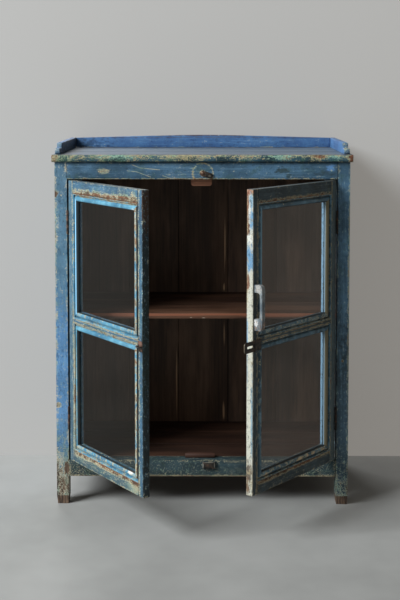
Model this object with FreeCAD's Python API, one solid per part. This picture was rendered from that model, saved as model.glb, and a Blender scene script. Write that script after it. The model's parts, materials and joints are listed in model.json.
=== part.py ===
import FreeCAD, Part
import math
import os

os.makedirs("parts", exist_ok=True)

# Glazed two-door cabinet on four posts, with a gallery round its top.
# Millimetres and degrees. X runs to the right, Y to the back, Z up, and Y = 0 is the front of the posts.
# The doors are built shut and then turned to the open angles at which the cabinet is stored.

# Body
body_width = 900.0
body_depth = 420.0
post_width = 38.0
post_depth = 42.0
foot_height = 27.0
foot_taper = 2.5
arris = 1.5

# Rails of the body, upwards from the floor
bottom_rail_underside = 87.0
bottom_rail_height = 51.0
bottom_rail_depth = 42.0
opening_height = 871.0
top_rail_height = 52.0
top_rail_depth = 24.0
side_rail_thickness = 22.0
side_rail_setback = 3.0
back_rail_thickness = 22.0

# Joinery
tenon_thickness = 8.0
tenon_setback = 8.0
tenon_shoulder = 5.0
tenon_cover = 14.0
tenon_spacing = 4.0
joint_clearance = 0.2

# Boards
side_board_thickness = 12.0
side_board_count = 3
groove_depth = 8.0
back_board_thickness = 14.0
back_board_count = 5
back_rebate = 8.0
floor_thickness = 16.0
floor_board_count = 3
shelf_height = 451.0
shelf_thickness = 18.0
shelf_front = 44.0
shelf_board_count = 2
cleat_size = 20.0
cleat_inset = 22.0
board_gap = 0.4
board_chamfer = 1.2

# Top and gallery
top_thickness = 24.0
top_side_overhang = 8.0
top_front_overhang = 12.0
top_board_count = 3
top_nose_flat = 8.0
gallery_height = 33.0
gallery_rise = 11.0
gallery_crest = 120.0
gallery_thickness = 18.0
gallery_setback = 1.0
gallery_front = 5.0
gallery_back_thickness = 16.0
gallery_back_setback = 2.0
lobe_step = 46.0
lobe_rise = 18.5
lobe_bulge = 3.0

# Doors
door_thickness = 22.0
hinge_gap = 2.4
meeting_gap = 3.0
door_end_gap = 2.5
stile_width = 47.0
door_top_rail = 62.0
door_middle_rail = 58.0
door_bottom_rail = 59.0
middle_rail_height = 438.5
door_tenon_thickness = 6.0
door_tenon_cover = 7.0
door_tenon_shoulder = 2.5
rabbet_depth = 13.0
glass_thickness = 3.0
glass_clearance = 1.5
moulding_width = 22.0
moulding_setback = 0.6
moulding_lip = 3.0
quirk_width = 4.0
quirk_floor = 3.5
bead_foot = 2.0
left_open_angle = 53.1
right_open_angle = 49.5

# Butt hinges
hinge_length = 70.0
upper_hinge_drop = 128.0
lower_hinge_rise = 131.0
barrel_radius = 3.2
barrel_standoff = 0.2
pin_radius = 1.4
pin_clearance = 0.05
pin_head_radius = 2.4
pin_head_height = 1.4
knuckle_gap = 0.3
sweep_clearance = 0.4
leaf_thickness = 1.8
leaf_let_in = 1.2
leaf_margin = 4.0
hinge_screw_count = 3

# Screws
screw_head_radius = 3.0
screw_shank_radius = 1.6
screw_length = 14.0
screw_clearance = 0.05

# Door stops
top_stop_left = -34.0
top_stop_right = 29.0
top_stop_drop = 22.0
top_stop_grip = 30.0
top_stop_thickness = 20.0
top_stop_round = 7.0
bottom_stop_left = -53.0
bottom_stop_right = 40.0
bottom_stop_height = 13.0
bottom_stop_depth = 15.0
bottom_stop_chamfer = 10.0
bottom_stop_gap = 2.5

# Turn button on the top rail
button_pivot_x = 2.0
button_pivot_drop = 33.5
button_reach = 32.0
button_width = 16.0
button_tail = 9.5
button_thickness = 4.0
button_standoff = 0.5
button_rest_angle = 18.0
button_screw_radius = 2.2
button_screw_head = 5.2
button_screw_dome = 2.4
button_screw_crown = 2.6
button_screw_depth = 15.0

# Bolt keeper on the bottom rail
keeper_left = 1.0
keeper_width = 39.0
keeper_height = 20.0
keeper_drop = 3.0
keeper_proud = 9.5
keeper_metal = 2.5
keeper_bend = 3.5
keeper_root = 9.0

# Pull handle on the right door
handle_above_rail = 33.0
handle_length = 129.0
handle_width = 14.0
handle_standoff = 29.0
handle_bar = 9.0
handle_low_foot = 33.0
handle_top_foot = 22.0
handle_outer_round = 12.0
handle_inner_round = 7.0
handle_soften = 2.5

# Hasp on the right door and its staple on the left door
hasp_below_rail = 10.0
hasp_height = 31.0
hasp_edge_distance = 5.0
hasp_barrel = 3.0
hasp_barrel_standoff = 0.4
hasp_pin = 1.4
hasp_leaf_reach = 38.0
hasp_leaf_thickness = 1.8
hasp_strap_thickness = 2.5
hasp_strap_end = 13.0
hasp_strap_round = 9.0
slot_end_clearance = 3.5
slot_side_clearance = 1.5
slot_round = 3.0
staple_margin = 2.5
staple_rod = 2.0
staple_standoff = 12.0
staple_bend = 5.0
staple_root = 10.0
staple_clearance = 0.1
staple_plate_height = 30.0
staple_plate_margin = 1.5
staple_plate_thickness = 1.5
staple_plate_round = 3.0

# Places worked out from the sizes above
half_width = body_width / 2
post_inner = half_width - post_width
rear_post_front = body_depth - post_depth
opening_bottom = bottom_rail_underside + bottom_rail_height
opening_top = opening_bottom + opening_height
top_underside = opening_top + top_rail_height
top_surface = top_underside + top_thickness
side_rail_outer = half_width - side_rail_setback
side_rail_inner = side_rail_outer - side_rail_thickness
side_rail_middle = (side_rail_outer + side_rail_inner) / 2
side_board_inner = side_rail_middle - side_board_thickness / 2
back_board_front = body_depth - back_board_thickness
floor_underside = opening_bottom - floor_thickness
shelf_top = opening_bottom + shelf_height
shelf_underside = shelf_top - shelf_thickness

door_bottom = opening_bottom + door_end_gap
door_top = opening_top - door_end_gap
door_hinge_edge = -post_inner + hinge_gap
door_free_edge = -meeting_gap / 2
stile_flat = stile_width - moulding_width
middle_rail_centre = door_bottom + middle_rail_height
handle_bottom = middle_rail_centre + handle_above_rail
hasp_centre = middle_rail_centre - hasp_below_rail
glass_back = rabbet_depth
glass_front = glass_back - glass_thickness
pivot_x = -post_inner + hinge_gap / 2
pivot_y = -barrel_radius - barrel_standoff

X_AXIS = FreeCAD.Vector(1, 0, 0)
Y_AXIS = FreeCAD.Vector(0, 1, 0)
Z_AXIS = FreeCAD.Vector(0, 0, 1)
ORIGIN = FreeCAD.Vector(0, 0, 0)
RING_SIDES = 8
BARREL_SIDES = 16
STAPLE_BEND_STEPS = 2


def vec(x, y, z):
    return FreeCAD.Vector(x, y, z)


def block(x0, x1, y0, y1, z0, z1):
    return Part.makeBox(x1 - x0, y1 - y0, z1 - z0, vec(x0, y0, z0))


def grown(limits, clearance):
    x0, x1, y0, y1, z0, z1 = limits
    c = clearance
    return block(x0 - c, x1 + c, y0 - c, y1 + c, z0 - c, z1 + c)


def edges_along(solid, axis):
    found = []
    for edge in solid.Edges:
        if abs(edge.tangentAt(edge.FirstParameter).dot(axis)) > 0.999:
            found.append(edge)
    return found


def rounded(solid, axis, radius):
    return solid.makeFillet(radius, edges_along(solid, axis))


def chamfered(solid, axis, size):
    return solid.makeChamfer(size, edges_along(solid, axis))


def mirrored(solid):
    return solid.mirror(ORIGIN, X_AXIS)


def outline(points):
    return Part.makePolygon(points + [points[0]])


def prism(wire, direction):
    return Part.Face(wire).extrude(direction)


def line(a, b):
    return Part.LineSegment(a, b).toShape()


def arc(a, b, c):
    return Part.Arc(a, b, c).toShape()


def ring(centre, direction, radius, sides=RING_SIDES):
    """Corners of a many-sided ring, which keeps small repeated pieces light."""
    start = Z_AXIS if abs(direction.dot(Z_AXIS)) < 0.5 else X_AXIS
    spokes = FreeCAD.Rotation(direction, 360.0 / sides)
    arm = start * radius
    points = []
    for i in range(sides):
        points.append(centre + arm)
        arm = spokes.multVec(arm)
    return points


def stacked(rings):
    """Solid through rings that lie one behind the other and have the same number of corners."""
    faces = [Part.Face(outline(rings[0])), Part.Face(outline(rings[-1]))]
    for near, far in zip(rings, rings[1:]):
        for i in range(len(near)):
            faces.append(Part.Face(outline([near[i - 1], near[i], far[i], far[i - 1]])))
    solid = Part.Solid(Part.Shell(faces))
    if solid.Volume < 0:
        solid.reverse()
    return solid


def turned(radius, length, base, direction, sides=BARREL_SIDES):
    end = base + direction * length
    return stacked([ring(base, direction, radius, sides), ring(end, direction, radius, sides)])


def bored(radius, length, base, direction):
    """Hole whose flats touch the given radius, so that a pin of that radius turns freely in it."""
    return turned(radius / math.cos(math.pi / RING_SIDES), length, base, direction, RING_SIDES)


def wood_screw(base, direction, length, clearance=0.0):
    """Countersunk screw whose flat head lies at base and whose shank runs along direction."""
    head = screw_head_radius + clearance
    shank = screw_shank_radius + clearance
    neck = base + direction * (screw_head_radius - screw_shank_radius)
    tip = base + direction * (length + clearance)
    return stacked([ring(base, direction, head), ring(neck, direction, shank), ring(tip, direction, shank)])


nodes = {}


def add(name, *solids):
    nodes[name] = list(solids)


def tenoned(body, tenons):
    for limits in tenons:
        body = body.fuse(block(*limits))
    return body.removeSplitter()


def mortised(piece, tenons):
    for limits in tenons:
        piece = piece.cut(grown(limits, joint_clearance))
    return piece


# Posts: square section with chamfered arrises, tapered over the foot
def post_section(x0, x1, y0, y1, z):
    a = arris
    return outline([vec(x0 + a, y0, z), vec(x1 - a, y0, z), vec(x1, y0 + a, z), vec(x1, y1 - a, z),
                    vec(x1 - a, y1, z), vec(x0 + a, y1, z), vec(x0, y1 - a, z), vec(x0, y0 + a, z)])


def post(y0, y1):
    x0, x1 = -half_width, -post_inner
    t = foot_taper
    shaft = prism(post_section(x0, x1, y0, y1, foot_height), vec(0, 0, top_underside - foot_height))
    foot = Part.makeLoft([post_section(x0 + t, x1 - t, y0 + t, y1 - t, 0.0),
                          post_section(x0, x1, y0, y1, foot_height)], True, True)
    return shaft.fuse(foot).removeSplitter()


front_post = post(0.0, post_depth)
back_post = post(rear_post_front, body_depth)
front_post_limits = (-half_width, -post_inner, 0.0, post_depth, 0.0, top_underside)
back_post_limits = (-half_width, -post_inner, rear_post_front, body_depth, 0.0, top_underside)

# Rails of the body with their tenons, listed for the left posts
front_tenon_length = post_width - tenon_cover
side_tenon_length = post_depth - tenon_setback - tenon_thickness - tenon_spacing
side_tenon_low_x = -side_rail_middle - tenon_thickness / 2
side_tenon_high_x = -side_rail_middle + tenon_thickness / 2
back_tenon_length = -post_inner - side_tenon_high_x - tenon_spacing


def cross_tenons(y0, z0, z1, length):
    left = (-post_inner - length, -post_inner, y0, y0 + tenon_thickness,
            z0 + tenon_shoulder, z1 - tenon_shoulder)
    right = (post_inner, post_inner + length) + left[2:]
    return left, right


def cross_rail(name, y0, y1, z0, z1, tenon_y, length):
    body = chamfered(block(-post_inner, post_inner, y0, y1, z0, z1), X_AXIS, arris)
    tenons = cross_tenons(tenon_y, z0, z1, length)
    add(name, tenoned(body, tenons))
    return tenons[0]


back_rail_front = back_board_front - back_rail_thickness
back_tenon_y = back_rail_front + (back_rail_thickness - tenon_thickness) / 2
front_left_tenons = [
    cross_rail("front_top_rail", 0.0, top_rail_depth, opening_top, top_underside,
               tenon_setback, front_tenon_length),
    cross_rail("front_bottom_rail", 0.0, bottom_rail_depth, bottom_rail_underside, opening_bottom,
               tenon_setback, front_tenon_length),
]
back_left_tenons = [
    cross_rail("back_top_rail", back_rail_front, back_board_front, opening_top, top_underside,
               back_tenon_y, back_tenon_length),
    cross_rail("back_bottom_rail", back_rail_front, back_board_front, bottom_rail_underside,
               floor_underside, back_tenon_y, back_tenon_length),
]

side_panel_limits = (-side_rail_middle - side_board_thickness / 2, -side_board_inner,
                     post_depth - groove_depth, rear_post_front + groove_depth,
                     opening_bottom - groove_depth, opening_top + groove_depth)


def side_rail(z0, z1, tenon_z0, tenon_z1):
    body = block(-side_rail_outer, -side_rail_inner, post_depth, rear_post_front, z0, z1)
    body = chamfered(body, Y_AXIS, arris)
    front = (side_tenon_low_x, side_tenon_high_x, post_depth - side_tenon_length, post_depth,
             tenon_z0, tenon_z1)
    back = front[:2] + (rear_post_front, rear_post_front + side_tenon_length) + front[4:]
    front_left_tenons.append(front)
    back_left_tenons.append(back)
    return tenoned(body, (front, back)).cut(grown(side_panel_limits, joint_clearance))


side_top_rail = side_rail(opening_top, top_underside,
                          opening_top + groove_depth + tenon_shoulder, top_underside - tenon_shoulder)
side_bottom_rail = side_rail(bottom_rail_underside, opening_bottom,
                             bottom_rail_underside + tenon_shoulder,
                             opening_bottom - groove_depth - tenon_shoulder)
add("left_side_top_rail", side_top_rail)
add("right_side_top_rail", mirrored(side_top_rail))
add("left_side_bottom_rail", side_bottom_rail)
add("right_side_bottom_rail", mirrored(side_bottom_rail))

front_post = mortised(front_post, front_left_tenons + [side_panel_limits])
back_board_limits = (-post_inner - back_rebate, post_inner + back_rebate, back_board_front,
                     body_depth + joint_clearance, bottom_rail_underside, top_underside)
back_post = mortised(back_post, back_left_tenons + [side_panel_limits, back_board_limits])


# Boards that close the body
def boards(count, start, end, make):
    """Boards side by side from start to end, made by make(low, high)."""
    pitch = (end - start) / count
    made = []
    for i in range(count):
        made.append(make(start + i * pitch + board_gap / 2, start + (i + 1) * pitch - board_gap / 2))
    return made


def side_board(low, high):
    x0, x1, y0, y1, z0, z1 = side_panel_limits
    return chamfered(block(x0, x1, low, high, z0, z1), Z_AXIS, board_chamfer)


side_boards = boards(side_board_count, side_panel_limits[2], side_panel_limits[3], side_board)
add("left_side_boards", *side_boards)
add("right_side_boards", *[mirrored(b) for b in side_boards])


def back_board(low, high):
    board = block(low, high, back_board_front, body_depth, bottom_rail_underside, top_underside)
    return chamfered(board, Z_AXIS, board_chamfer)


back_reach = post_inner + back_rebate
add("back_boards", *boards(back_board_count, -back_reach, back_reach, back_board))


def clear_of_posts(board):
    for limits in (front_post_limits, back_post_limits):
        notch = grown(limits, joint_clearance)
        board = board.cut(notch).cut(mirrored(notch))
    return board


def floor_board(low, high):
    reach = side_rail_inner - joint_clearance
    board = block(-reach, reach, low, high, floor_underside, opening_bottom)
    return clear_of_posts(chamfered(board, X_AXIS, board_chamfer))


add("floor_boards", *boards(floor_board_count, bottom_rail_depth, back_board_front, floor_board))


def shelf_board(low, high):
    reach = side_board_inner - joint_clearance
    board = block(-reach, reach, low, high, shelf_underside, shelf_top)
    return clear_of_posts(chamfered(board, X_AXIS, board_chamfer))


add("shelf_boards", *boards(shelf_board_count, shelf_front, back_board_front, shelf_board))


def side_cleat(wall, top):
    cleat = block(-wall, -wall + cleat_size, post_depth + cleat_inset, rear_post_front - cleat_inset,
                  top - cleat_size, top)
    return chamfered(cleat, Y_AXIS, board_chamfer)


shelf_cleat = side_cleat(side_board_inner, shelf_underside)
add("shelf_cleats", shelf_cleat, mirrored(shelf_cleat))
floor_cleat = side_cleat(side_rail_inner, floor_underside)
front_cleat = block(-post_inner + cleat_inset, post_inner - cleat_inset, bottom_rail_depth,
                    bottom_rail_depth + cleat_size, floor_underside - cleat_size, floor_underside)
add("floor_cleats", floor_cleat, mirrored(floor_cleat), chamfered(front_cleat, X_AXIS, board_chamfer))


# Top: boards along the front, the first with a rounded nose
top_reach = half_width + top_side_overhang


def top_board(low, high):
    nose = (top_thickness - top_nose_flat) / 2
    board = block(-top_reach, top_reach, low, high, top_underside, top_surface)
    if low < 0:
        front = [e for e in edges_along(board, X_AXIS) if e.CenterOfMass.y < low + board_gap]
        board = board.makeFillet(nose, front)
    ends = [e for e in edges_along(board, Y_AXIS) if abs(e.CenterOfMass.x) > half_width]
    return board.makeChamfer(arris, ends)


add("top_boards", *boards(top_board_count, -top_front_overhang, body_depth, top_board))


# Gallery: two sides with a stepped, lobed front end and a back that rises to a low crest
def gallery_side():
    x = -half_width + gallery_setback
    back = body_depth - gallery_back_setback
    low = gallery_front
    step_z = top_surface + lobe_rise
    top_z = top_surface + gallery_height
    middle_low = (top_surface + step_z) / 2
    middle_high = (step_z + top_z) / 2
    edges = [
        line(vec(x, back, top_z), vec(x, back, top_surface)),
        line(vec(x, back, top_surface), vec(x, low + lobe_bulge, top_surface)),
        arc(vec(x, low + lobe_bulge, top_surface), vec(x, low, middle_low),
            vec(x, low + lobe_bulge, step_z)),
        line(vec(x, low + lobe_bulge, step_z), vec(x, low + lobe_step, step_z)),
        arc(vec(x, low + lobe_step, step_z), vec(x, low + lobe_step - lobe_bulge / 2, middle_high),
            vec(x, low + lobe_step + lobe_bulge, top_z)),
        line(vec(x, low + lobe_step + lobe_bulge, top_z), vec(x, back, top_z)),
    ]
    return prism(Part.Wire(edges), vec(gallery_thickness, 0, 0))


def gallery_back():
    reach = half_width - gallery_setback - gallery_thickness
    y = body_depth - gallery_back_setback - gallery_back_thickness
    low_z = top_surface + gallery_height
    crest = gallery_crest / 2
    shoulder_z = low_z + gallery_rise * (1 - crest / reach)
    edges = [
        line(vec(-reach, y, top_surface), vec(reach, y, top_surface)),
        line(vec(reach, y, top_surface), vec(reach, y, low_z)),
        line(vec(reach, y, low_z), vec(crest, y, shoulder_z)),
        arc(vec(crest, y, shoulder_z), vec(0, y, (shoulder_z + low_z + gallery_rise) / 2),
            vec(-crest, y, shoulder_z)),
        line(vec(-crest, y, shoulder_z), vec(-reach, y, low_z)),
        line(vec(-reach, y, low_z), vec(-reach, y, top_surface)),
    ]
    return prism(Part.Wire(edges), vec(0, gallery_back_thickness, 0))


left_gallery = gallery_side()
add("gallery_left", left_gallery)
add("gallery_right", mirrored(left_gallery))
add("gallery_back", gallery_back())


# Stops that the doors close against
def top_door_stop():
    z0 = opening_top - top_stop_drop
    stop = block(top_stop_left, top_stop_right, top_rail_depth, top_rail_depth + top_stop_thickness,
                 z0, opening_top + top_stop_grip)
    low = [e for e in edges_along(stop, Y_AXIS) if e.CenterOfMass.z < opening_top]
    return stop.makeFillet(top_stop_round, low)


def bottom_door_stop():
    y0 = door_thickness + bottom_stop_gap
    y1 = y0 + bottom_stop_depth
    c = bottom_stop_chamfer
    z = opening_bottom
    points = [vec(bottom_stop_left, y0, z), vec(bottom_stop_right, y0, z),
              vec(bottom_stop_right, y1 - c, z), vec(bottom_stop_right - c, y1, z),
              vec(bottom_stop_left + c, y1, z), vec(bottom_stop_left, y1 - c, z)]
    return prism(outline(points), vec(0, 0, bottom_stop_height))


add("top_door_stop", top_door_stop())
add("bottom_door_stop", bottom_door_stop())


# Turn button and the screw that it turns on
button_pivot_z = top_underside - button_pivot_drop
button_back = -button_standoff
button_front = button_back - button_thickness


def turn_button():
    r = button_width / 2
    tip = button_reach - r
    y = button_back
    edges = [
        line(vec(0, y, -r), vec(tip, y, -r)),
        arc(vec(tip, y, -r), vec(button_reach, y, 0), vec(tip, y, r)),
        line(vec(tip, y, r), vec(0, y, r)),
        arc(vec(0, y, r), vec(-button_tail, y, 0), vec(0, y, -r)),
    ]
    plate = prism(Part.Wire(edges), vec(0, -button_thickness, 0))
    rim = [e for e in plate.Edges if e.CenterOfMass.y < button_front + pin_clearance]
    plate = plate.makeChamfer(button_thickness / 4, rim)
    bore = bored(button_screw_radius + pin_clearance, button_thickness * 2,
                 vec(0, button_front - button_thickness / 2, 0), Y_AXIS)
    plate = plate.cut(bore)
    plate.rotate(ORIGIN, Y_AXIS, button_rest_angle)
    plate.translate(vec(button_pivot_x, 0, button_pivot_z))
    return plate


def dome_screw(clearance):
    seat = vec(button_pivot_x, button_front - knuckle_gap, button_pivot_z)
    shank = turned(button_screw_radius + clearance, knuckle_gap - button_front + button_screw_depth,
                   seat, Y_AXIS)
    crown = seat - Y_AXIS * button_screw_dome
    dome = stacked([ring(seat, Y_AXIS, button_screw_head, BARREL_SIDES),
                    ring(crown, Y_AXIS, button_screw_crown, BARREL_SIDES)])
    return shank.fuse(dome).removeSplitter()


add("turn_button", turn_button())
add("turn_button_screw", dome_screw(0.0))
top_rail_hole = dome_screw(screw_clearance)
nodes["front_top_rail"] = [nodes["front_top_rail"][0].cut(top_rail_hole)]


# Keeper: a flat iron bridge whose ends are driven into the bottom rail
def keeper_bridge(grow):
    x0 = keeper_left - grow
    x1 = keeper_left + keeper_width + grow
    z0 = opening_bottom - keeper_drop - keeper_height - grow
    height = keeper_height + 2 * grow
    outer = block(x0, x1, -keeper_proud - grow, keeper_root + grow, z0, z0 + height)
    corners = [e for e in edges_along(outer, Z_AXIS) if e.CenterOfMass.y < 0]
    outer = outer.makeFillet(keeper_bend, corners)
    metal = keeper_metal + 2 * grow
    inner = block(x0 + metal, x1 - metal, -keeper_proud - grow + metal, 2 * keeper_root, z0, z0 + height)
    corners = [e for e in edges_along(inner, Z_AXIS) if e.CenterOfMass.y < 0]
    inner = inner.makeFillet(keeper_bend - keeper_metal / 2, corners)
    return outer.cut(inner)


add("bolt_keeper", keeper_bridge(0.0))
nodes["front_bottom_rail"] = [nodes["front_bottom_rail"][0].cut(keeper_bridge(screw_clearance))]


# Doors, built shut on the left side of the opening
def door_stile(outer_edge, inward):
    """Full-height stile with a glazing rabbet on its inner front edge; inward is +1 or -1 along X."""
    def at(u, y):
        return vec(outer_edge + inward * u, y, door_bottom)
    points = [at(0, 0), at(stile_flat, 0), at(stile_flat, rabbet_depth), at(stile_width, rabbet_depth),
              at(stile_width, door_thickness), at(0, door_thickness)]
    stile = prism(outline(points), vec(0, 0, door_top - door_bottom))
    worn = []
    for edge in edges_along(stile, Z_AXIS):
        outer_corner = abs(edge.CenterOfMass.x - outer_edge) < stile_flat / 2
        if outer_corner:
            worn.append(edge)
    return stile.makeChamfer(arris, worn)


rail_left = door_hinge_edge + stile_flat
rail_right = door_free_edge - stile_flat
lip_left = door_hinge_edge + stile_width
lip_right = door_free_edge - stile_width
door_tenon_y1 = rabbet_depth
door_tenon_y0 = door_tenon_y1 - door_tenon_thickness
door_tenon_length = stile_flat - door_tenon_cover


def door_rail(z0, z1, rabbet_below, rabbet_above):
    """Rail between the stiles, with a glazing rabbet on its lower edge, upper edge or both."""
    low = z0 + (moulding_width if rabbet_below else 0.0)
    high = z1 - (moulding_width if rabbet_above else 0.0)
    front = block(rail_left, rail_right, 0.0, rabbet_depth, low, high)
    back = block(lip_left, lip_right, rabbet_depth, door_thickness, z0, z1)
    tenons = []
    for x0 in (rail_left - door_tenon_length, rail_right):
        tenons.append((x0, x0 + door_tenon_length, door_tenon_y0, door_tenon_y1,
                       low + door_tenon_shoulder, high - door_tenon_shoulder))
    return tenoned(front.fuse(back), tenons), tenons


top_rail, top_tenons = door_rail(door_top - door_top_rail, door_top, True, False)
middle_rail, middle_tenons = door_rail(middle_rail_centre - door_middle_rail / 2,
                                       middle_rail_centre + door_middle_rail / 2, True, True)
bottom_rail, bottom_tenons = door_rail(door_bottom, door_bottom + door_bottom_rail, False, True)
all_tenons = top_tenons + middle_tenons + bottom_tenons
hinge_stile = mortised(door_stile(door_hinge_edge, 1), all_tenons)
lock_stile = mortised(door_stile(door_free_edge, -1), all_tenons)

lower_light = (door_bottom + door_bottom_rail, middle_rail_centre - door_middle_rail / 2)
upper_light = (middle_rail_centre + door_middle_rail / 2, door_top - door_top_rail)


def pane(light):
    room = moulding_width - glass_clearance
    return block(lip_left - room, lip_right + room, glass_front, glass_back,
                 light[0] - room, light[1] + room)


def moulding_section(at):
    """Lip, quirk and rounded bead; at(u, y) places a point u from the rabbet wall and y from the front."""
    bead_start = moulding_lip + quirk_width
    bead_middle = (bead_start + moulding_width) / 2
    front = moulding_setback
    floor = glass_front - quirk_floor
    foot = glass_front - bead_foot
    lip_bevel = moulding_lip / 2
    return Part.Wire([
        line(at(0, glass_front), at(0, front)),
        line(at(0, front), at(moulding_lip - lip_bevel, front)),
        line(at(moulding_lip - lip_bevel, front), at(moulding_lip, front + lip_bevel)),
        line(at(moulding_lip, front + lip_bevel), at(moulding_lip, floor)),
        line(at(moulding_lip, floor), at(bead_start, floor)),
        arc(at(bead_start, floor), at(bead_middle, front), at(moulding_width, foot)),
        line(at(moulding_width, foot), at(moulding_width, glass_front)),
        line(at(moulding_width, glass_front), at(0, glass_front)),
    ])


def mitre_wedge(a, b, c, d):
    points = [vec(x, -door_thickness, z) for x, z in (a, b, c, d)]
    return prism(outline(points), vec(0, 3 * door_thickness, 0))


def moulding_frame(light):
    """Four mitred lengths of moulding round one pane."""
    x0, x1 = lip_left - moulding_width, lip_right + moulding_width
    z0, z1 = light[0] - moulding_width, light[1] + moulding_width
    inner = ((lip_left, light[0]), (lip_right, light[0]), (lip_right, light[1]), (lip_left, light[1]))
    outer = ((x0, z0), (x1, z0), (x1, z1), (x0, z1))
    lengths = [
        prism(moulding_section(lambda u, y: vec(x0, y, z0 + u)), vec(x1 - x0, 0, 0)),
        prism(moulding_section(lambda u, y: vec(x1 - u, y, z0)), vec(0, 0, z1 - z0)),
        prism(moulding_section(lambda u, y: vec(x0, y, z1 - u)), vec(x1 - x0, 0, 0)),
        prism(moulding_section(lambda u, y: vec(x0 + u, y, z0)), vec(0, 0, z1 - z0)),
    ]
    mitred = []
    for i, length in enumerate(lengths):
        j = (i + 1) % 4
        mitred.append(length.common(mitre_wedge(outer[i], outer[j], inner[j], inner[i])))
    return mitred


# Butt hinges: the post leaf has the outer knuckles, the door leaf the middle one
hinge_bottoms = [door_bottom + lower_hinge_rise - hinge_length / 2,
                 door_top - upper_hinge_drop - hinge_length / 2]
knuckle = hinge_length / 3
post_leaf_x0 = -post_inner - leaf_let_in
door_leaf_x1 = door_hinge_edge + leaf_let_in
leaf_back = door_thickness - leaf_margin


def knuckle_spans(z0, own_outer):
    outer = [(z0, z0 + knuckle), (z0 + 2 * knuckle, z0 + hinge_length)]
    middle = [(z0 + knuckle, z0 + 2 * knuckle)]
    return (outer, middle) if own_outer else (middle, outer)


def hinge_leaf(x0, z0, own_outer):
    own, other = knuckle_spans(z0, own_outer)
    leaf = block(x0, x0 + leaf_thickness, pivot_y, leaf_back, z0, z0 + hinge_length)
    for low, high in own:
        leaf = leaf.fuse(turned(barrel_radius, high - low, vec(pivot_x, pivot_y, low), Z_AXIS))
    for low, high in other:
        room = turned(barrel_radius + sweep_clearance, high - low + 2 * knuckle_gap,
                      vec(pivot_x, pivot_y, low - knuckle_gap), Z_AXIS)
        leaf = leaf.cut(room)
    bore = bored(pin_radius + pin_clearance, hinge_length, vec(pivot_x, pivot_y, z0), Z_AXIS)
    return leaf.cut(bore).removeSplitter()


def pin_head(base):
    return turned(pin_head_radius, pin_head_height, base, Z_AXIS)


def hinge_pin(z0):
    foot = vec(pivot_x, pivot_y, z0 - knuckle_gap)
    shank = turned(pin_radius, hinge_length + 2 * knuckle_gap, foot, Z_AXIS)
    for low in (z0 - knuckle_gap - pin_head_height, z0 + hinge_length + knuckle_gap):
        shank = shank.fuse(pin_head(vec(pivot_x, pivot_y, low)))
    return shank.removeSplitter()


def leaf_screw_places(z0):
    spacing = hinge_length / hinge_screw_count
    middle = leaf_back / 2
    return [(middle, z0 + (i + 0.5) * spacing) for i in range(hinge_screw_count)]


post_leaves = []
door_leaves = []
pins = []
post_screws = []
door_screws = []
for z0 in hinge_bottoms:
    post_leaf = hinge_leaf(post_leaf_x0, z0, True)
    door_leaf = hinge_leaf(door_leaf_x1 - leaf_thickness, z0, False)
    z1 = z0 + hinge_length
    post_seat = block(post_leaf_x0, -post_inner + joint_clearance, -joint_clearance, leaf_back, z0, z1)
    door_seat = block(door_hinge_edge - joint_clearance, door_leaf_x1, -joint_clearance, leaf_back, z0, z1)
    front_post = front_post.cut(post_seat)
    hinge_stile = hinge_stile.cut(door_seat)
    for y, z in leaf_screw_places(z0):
        post_head = vec(post_leaf_x0 + leaf_thickness, y, z)
        door_head = vec(door_leaf_x1 - leaf_thickness, y, z)
        post_screws.append(wood_screw(post_head, -X_AXIS, screw_length))
        door_screws.append(wood_screw(door_head, X_AXIS, screw_length))
        post_hole = wood_screw(post_head, -X_AXIS, screw_length, screw_clearance)
        door_hole = wood_screw(door_head, X_AXIS, screw_length, screw_clearance)
        post_leaf = post_leaf.cut(post_hole)
        front_post = front_post.cut(post_hole)
        door_leaf = door_leaf.cut(door_hole)
        hinge_stile = hinge_stile.cut(door_hole)
    post_leaves.append(post_leaf)
    door_leaves.append(door_leaf)
    pins.append(hinge_pin(z0))

add("front_left_post", front_post)
add("front_right_post", mirrored(front_post))
add("back_left_post", back_post)
add("back_right_post", mirrored(back_post))
add("post_hinge_leaves", *(post_leaves + [mirrored(s) for s in post_leaves]))
add("hinge_pins", *(pins + [mirrored(s) for s in pins]))
add("post_hinge_screws", *(post_screws + [mirrored(s) for s in post_screws]))

door_pieces = {
    "hinge_stile": [hinge_stile],
    "lock_stile": [lock_stile],
    "top_rail": [top_rail],
    "middle_rail": [middle_rail],
    "bottom_rail": [bottom_rail],
    "upper_pane": [pane(upper_light)],
    "lower_pane": [pane(lower_light)],
    "upper_moulding": moulding_frame(upper_light),
    "lower_moulding": moulding_frame(lower_light),
    "hinge_leaves": door_leaves,
    "hinge_screws": door_screws,
}
left_door = {}
right_door = {}
for name, solids in door_pieces.items():
    left_door["left_door_" + name] = solids
    right_door["right_door_" + name] = [mirrored(s) for s in solids]


# Staple on the left lock stile: a bent rod with both legs driven through a small plate into the wood
hasp_free_edge = -door_free_edge
staple_x = door_free_edge - stile_flat / 2
staple_span = stile_flat - 2 * staple_margin - 2 * staple_rod


def staple(rod, root):
    x0, x1 = staple_x - staple_span / 2, staple_x + staple_span / 2
    y = -staple_standoff
    z = hasp_centre
    bends = []
    for middle, first in ((x0 + staple_bend, 180.0), (x1 - staple_bend, 270.0)):
        for i in range(STAPLE_BEND_STEPS + 1):
            angle = math.radians(first + 90.0 * i / STAPLE_BEND_STEPS)
            bends.append((middle, angle))
    rings = [ring(vec(x0, root, z), -Y_AXIS, rod)]
    for middle, angle in bends:
        out = vec(math.cos(angle), math.sin(angle), 0)
        centre = vec(middle, y + staple_bend, z) + out * staple_bend
        rings.append(ring(centre, vec(-out.y, out.x, 0), rod))
    rings.append(ring(vec(x1, root, z), Y_AXIS, rod))
    return stacked(rings)


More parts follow.
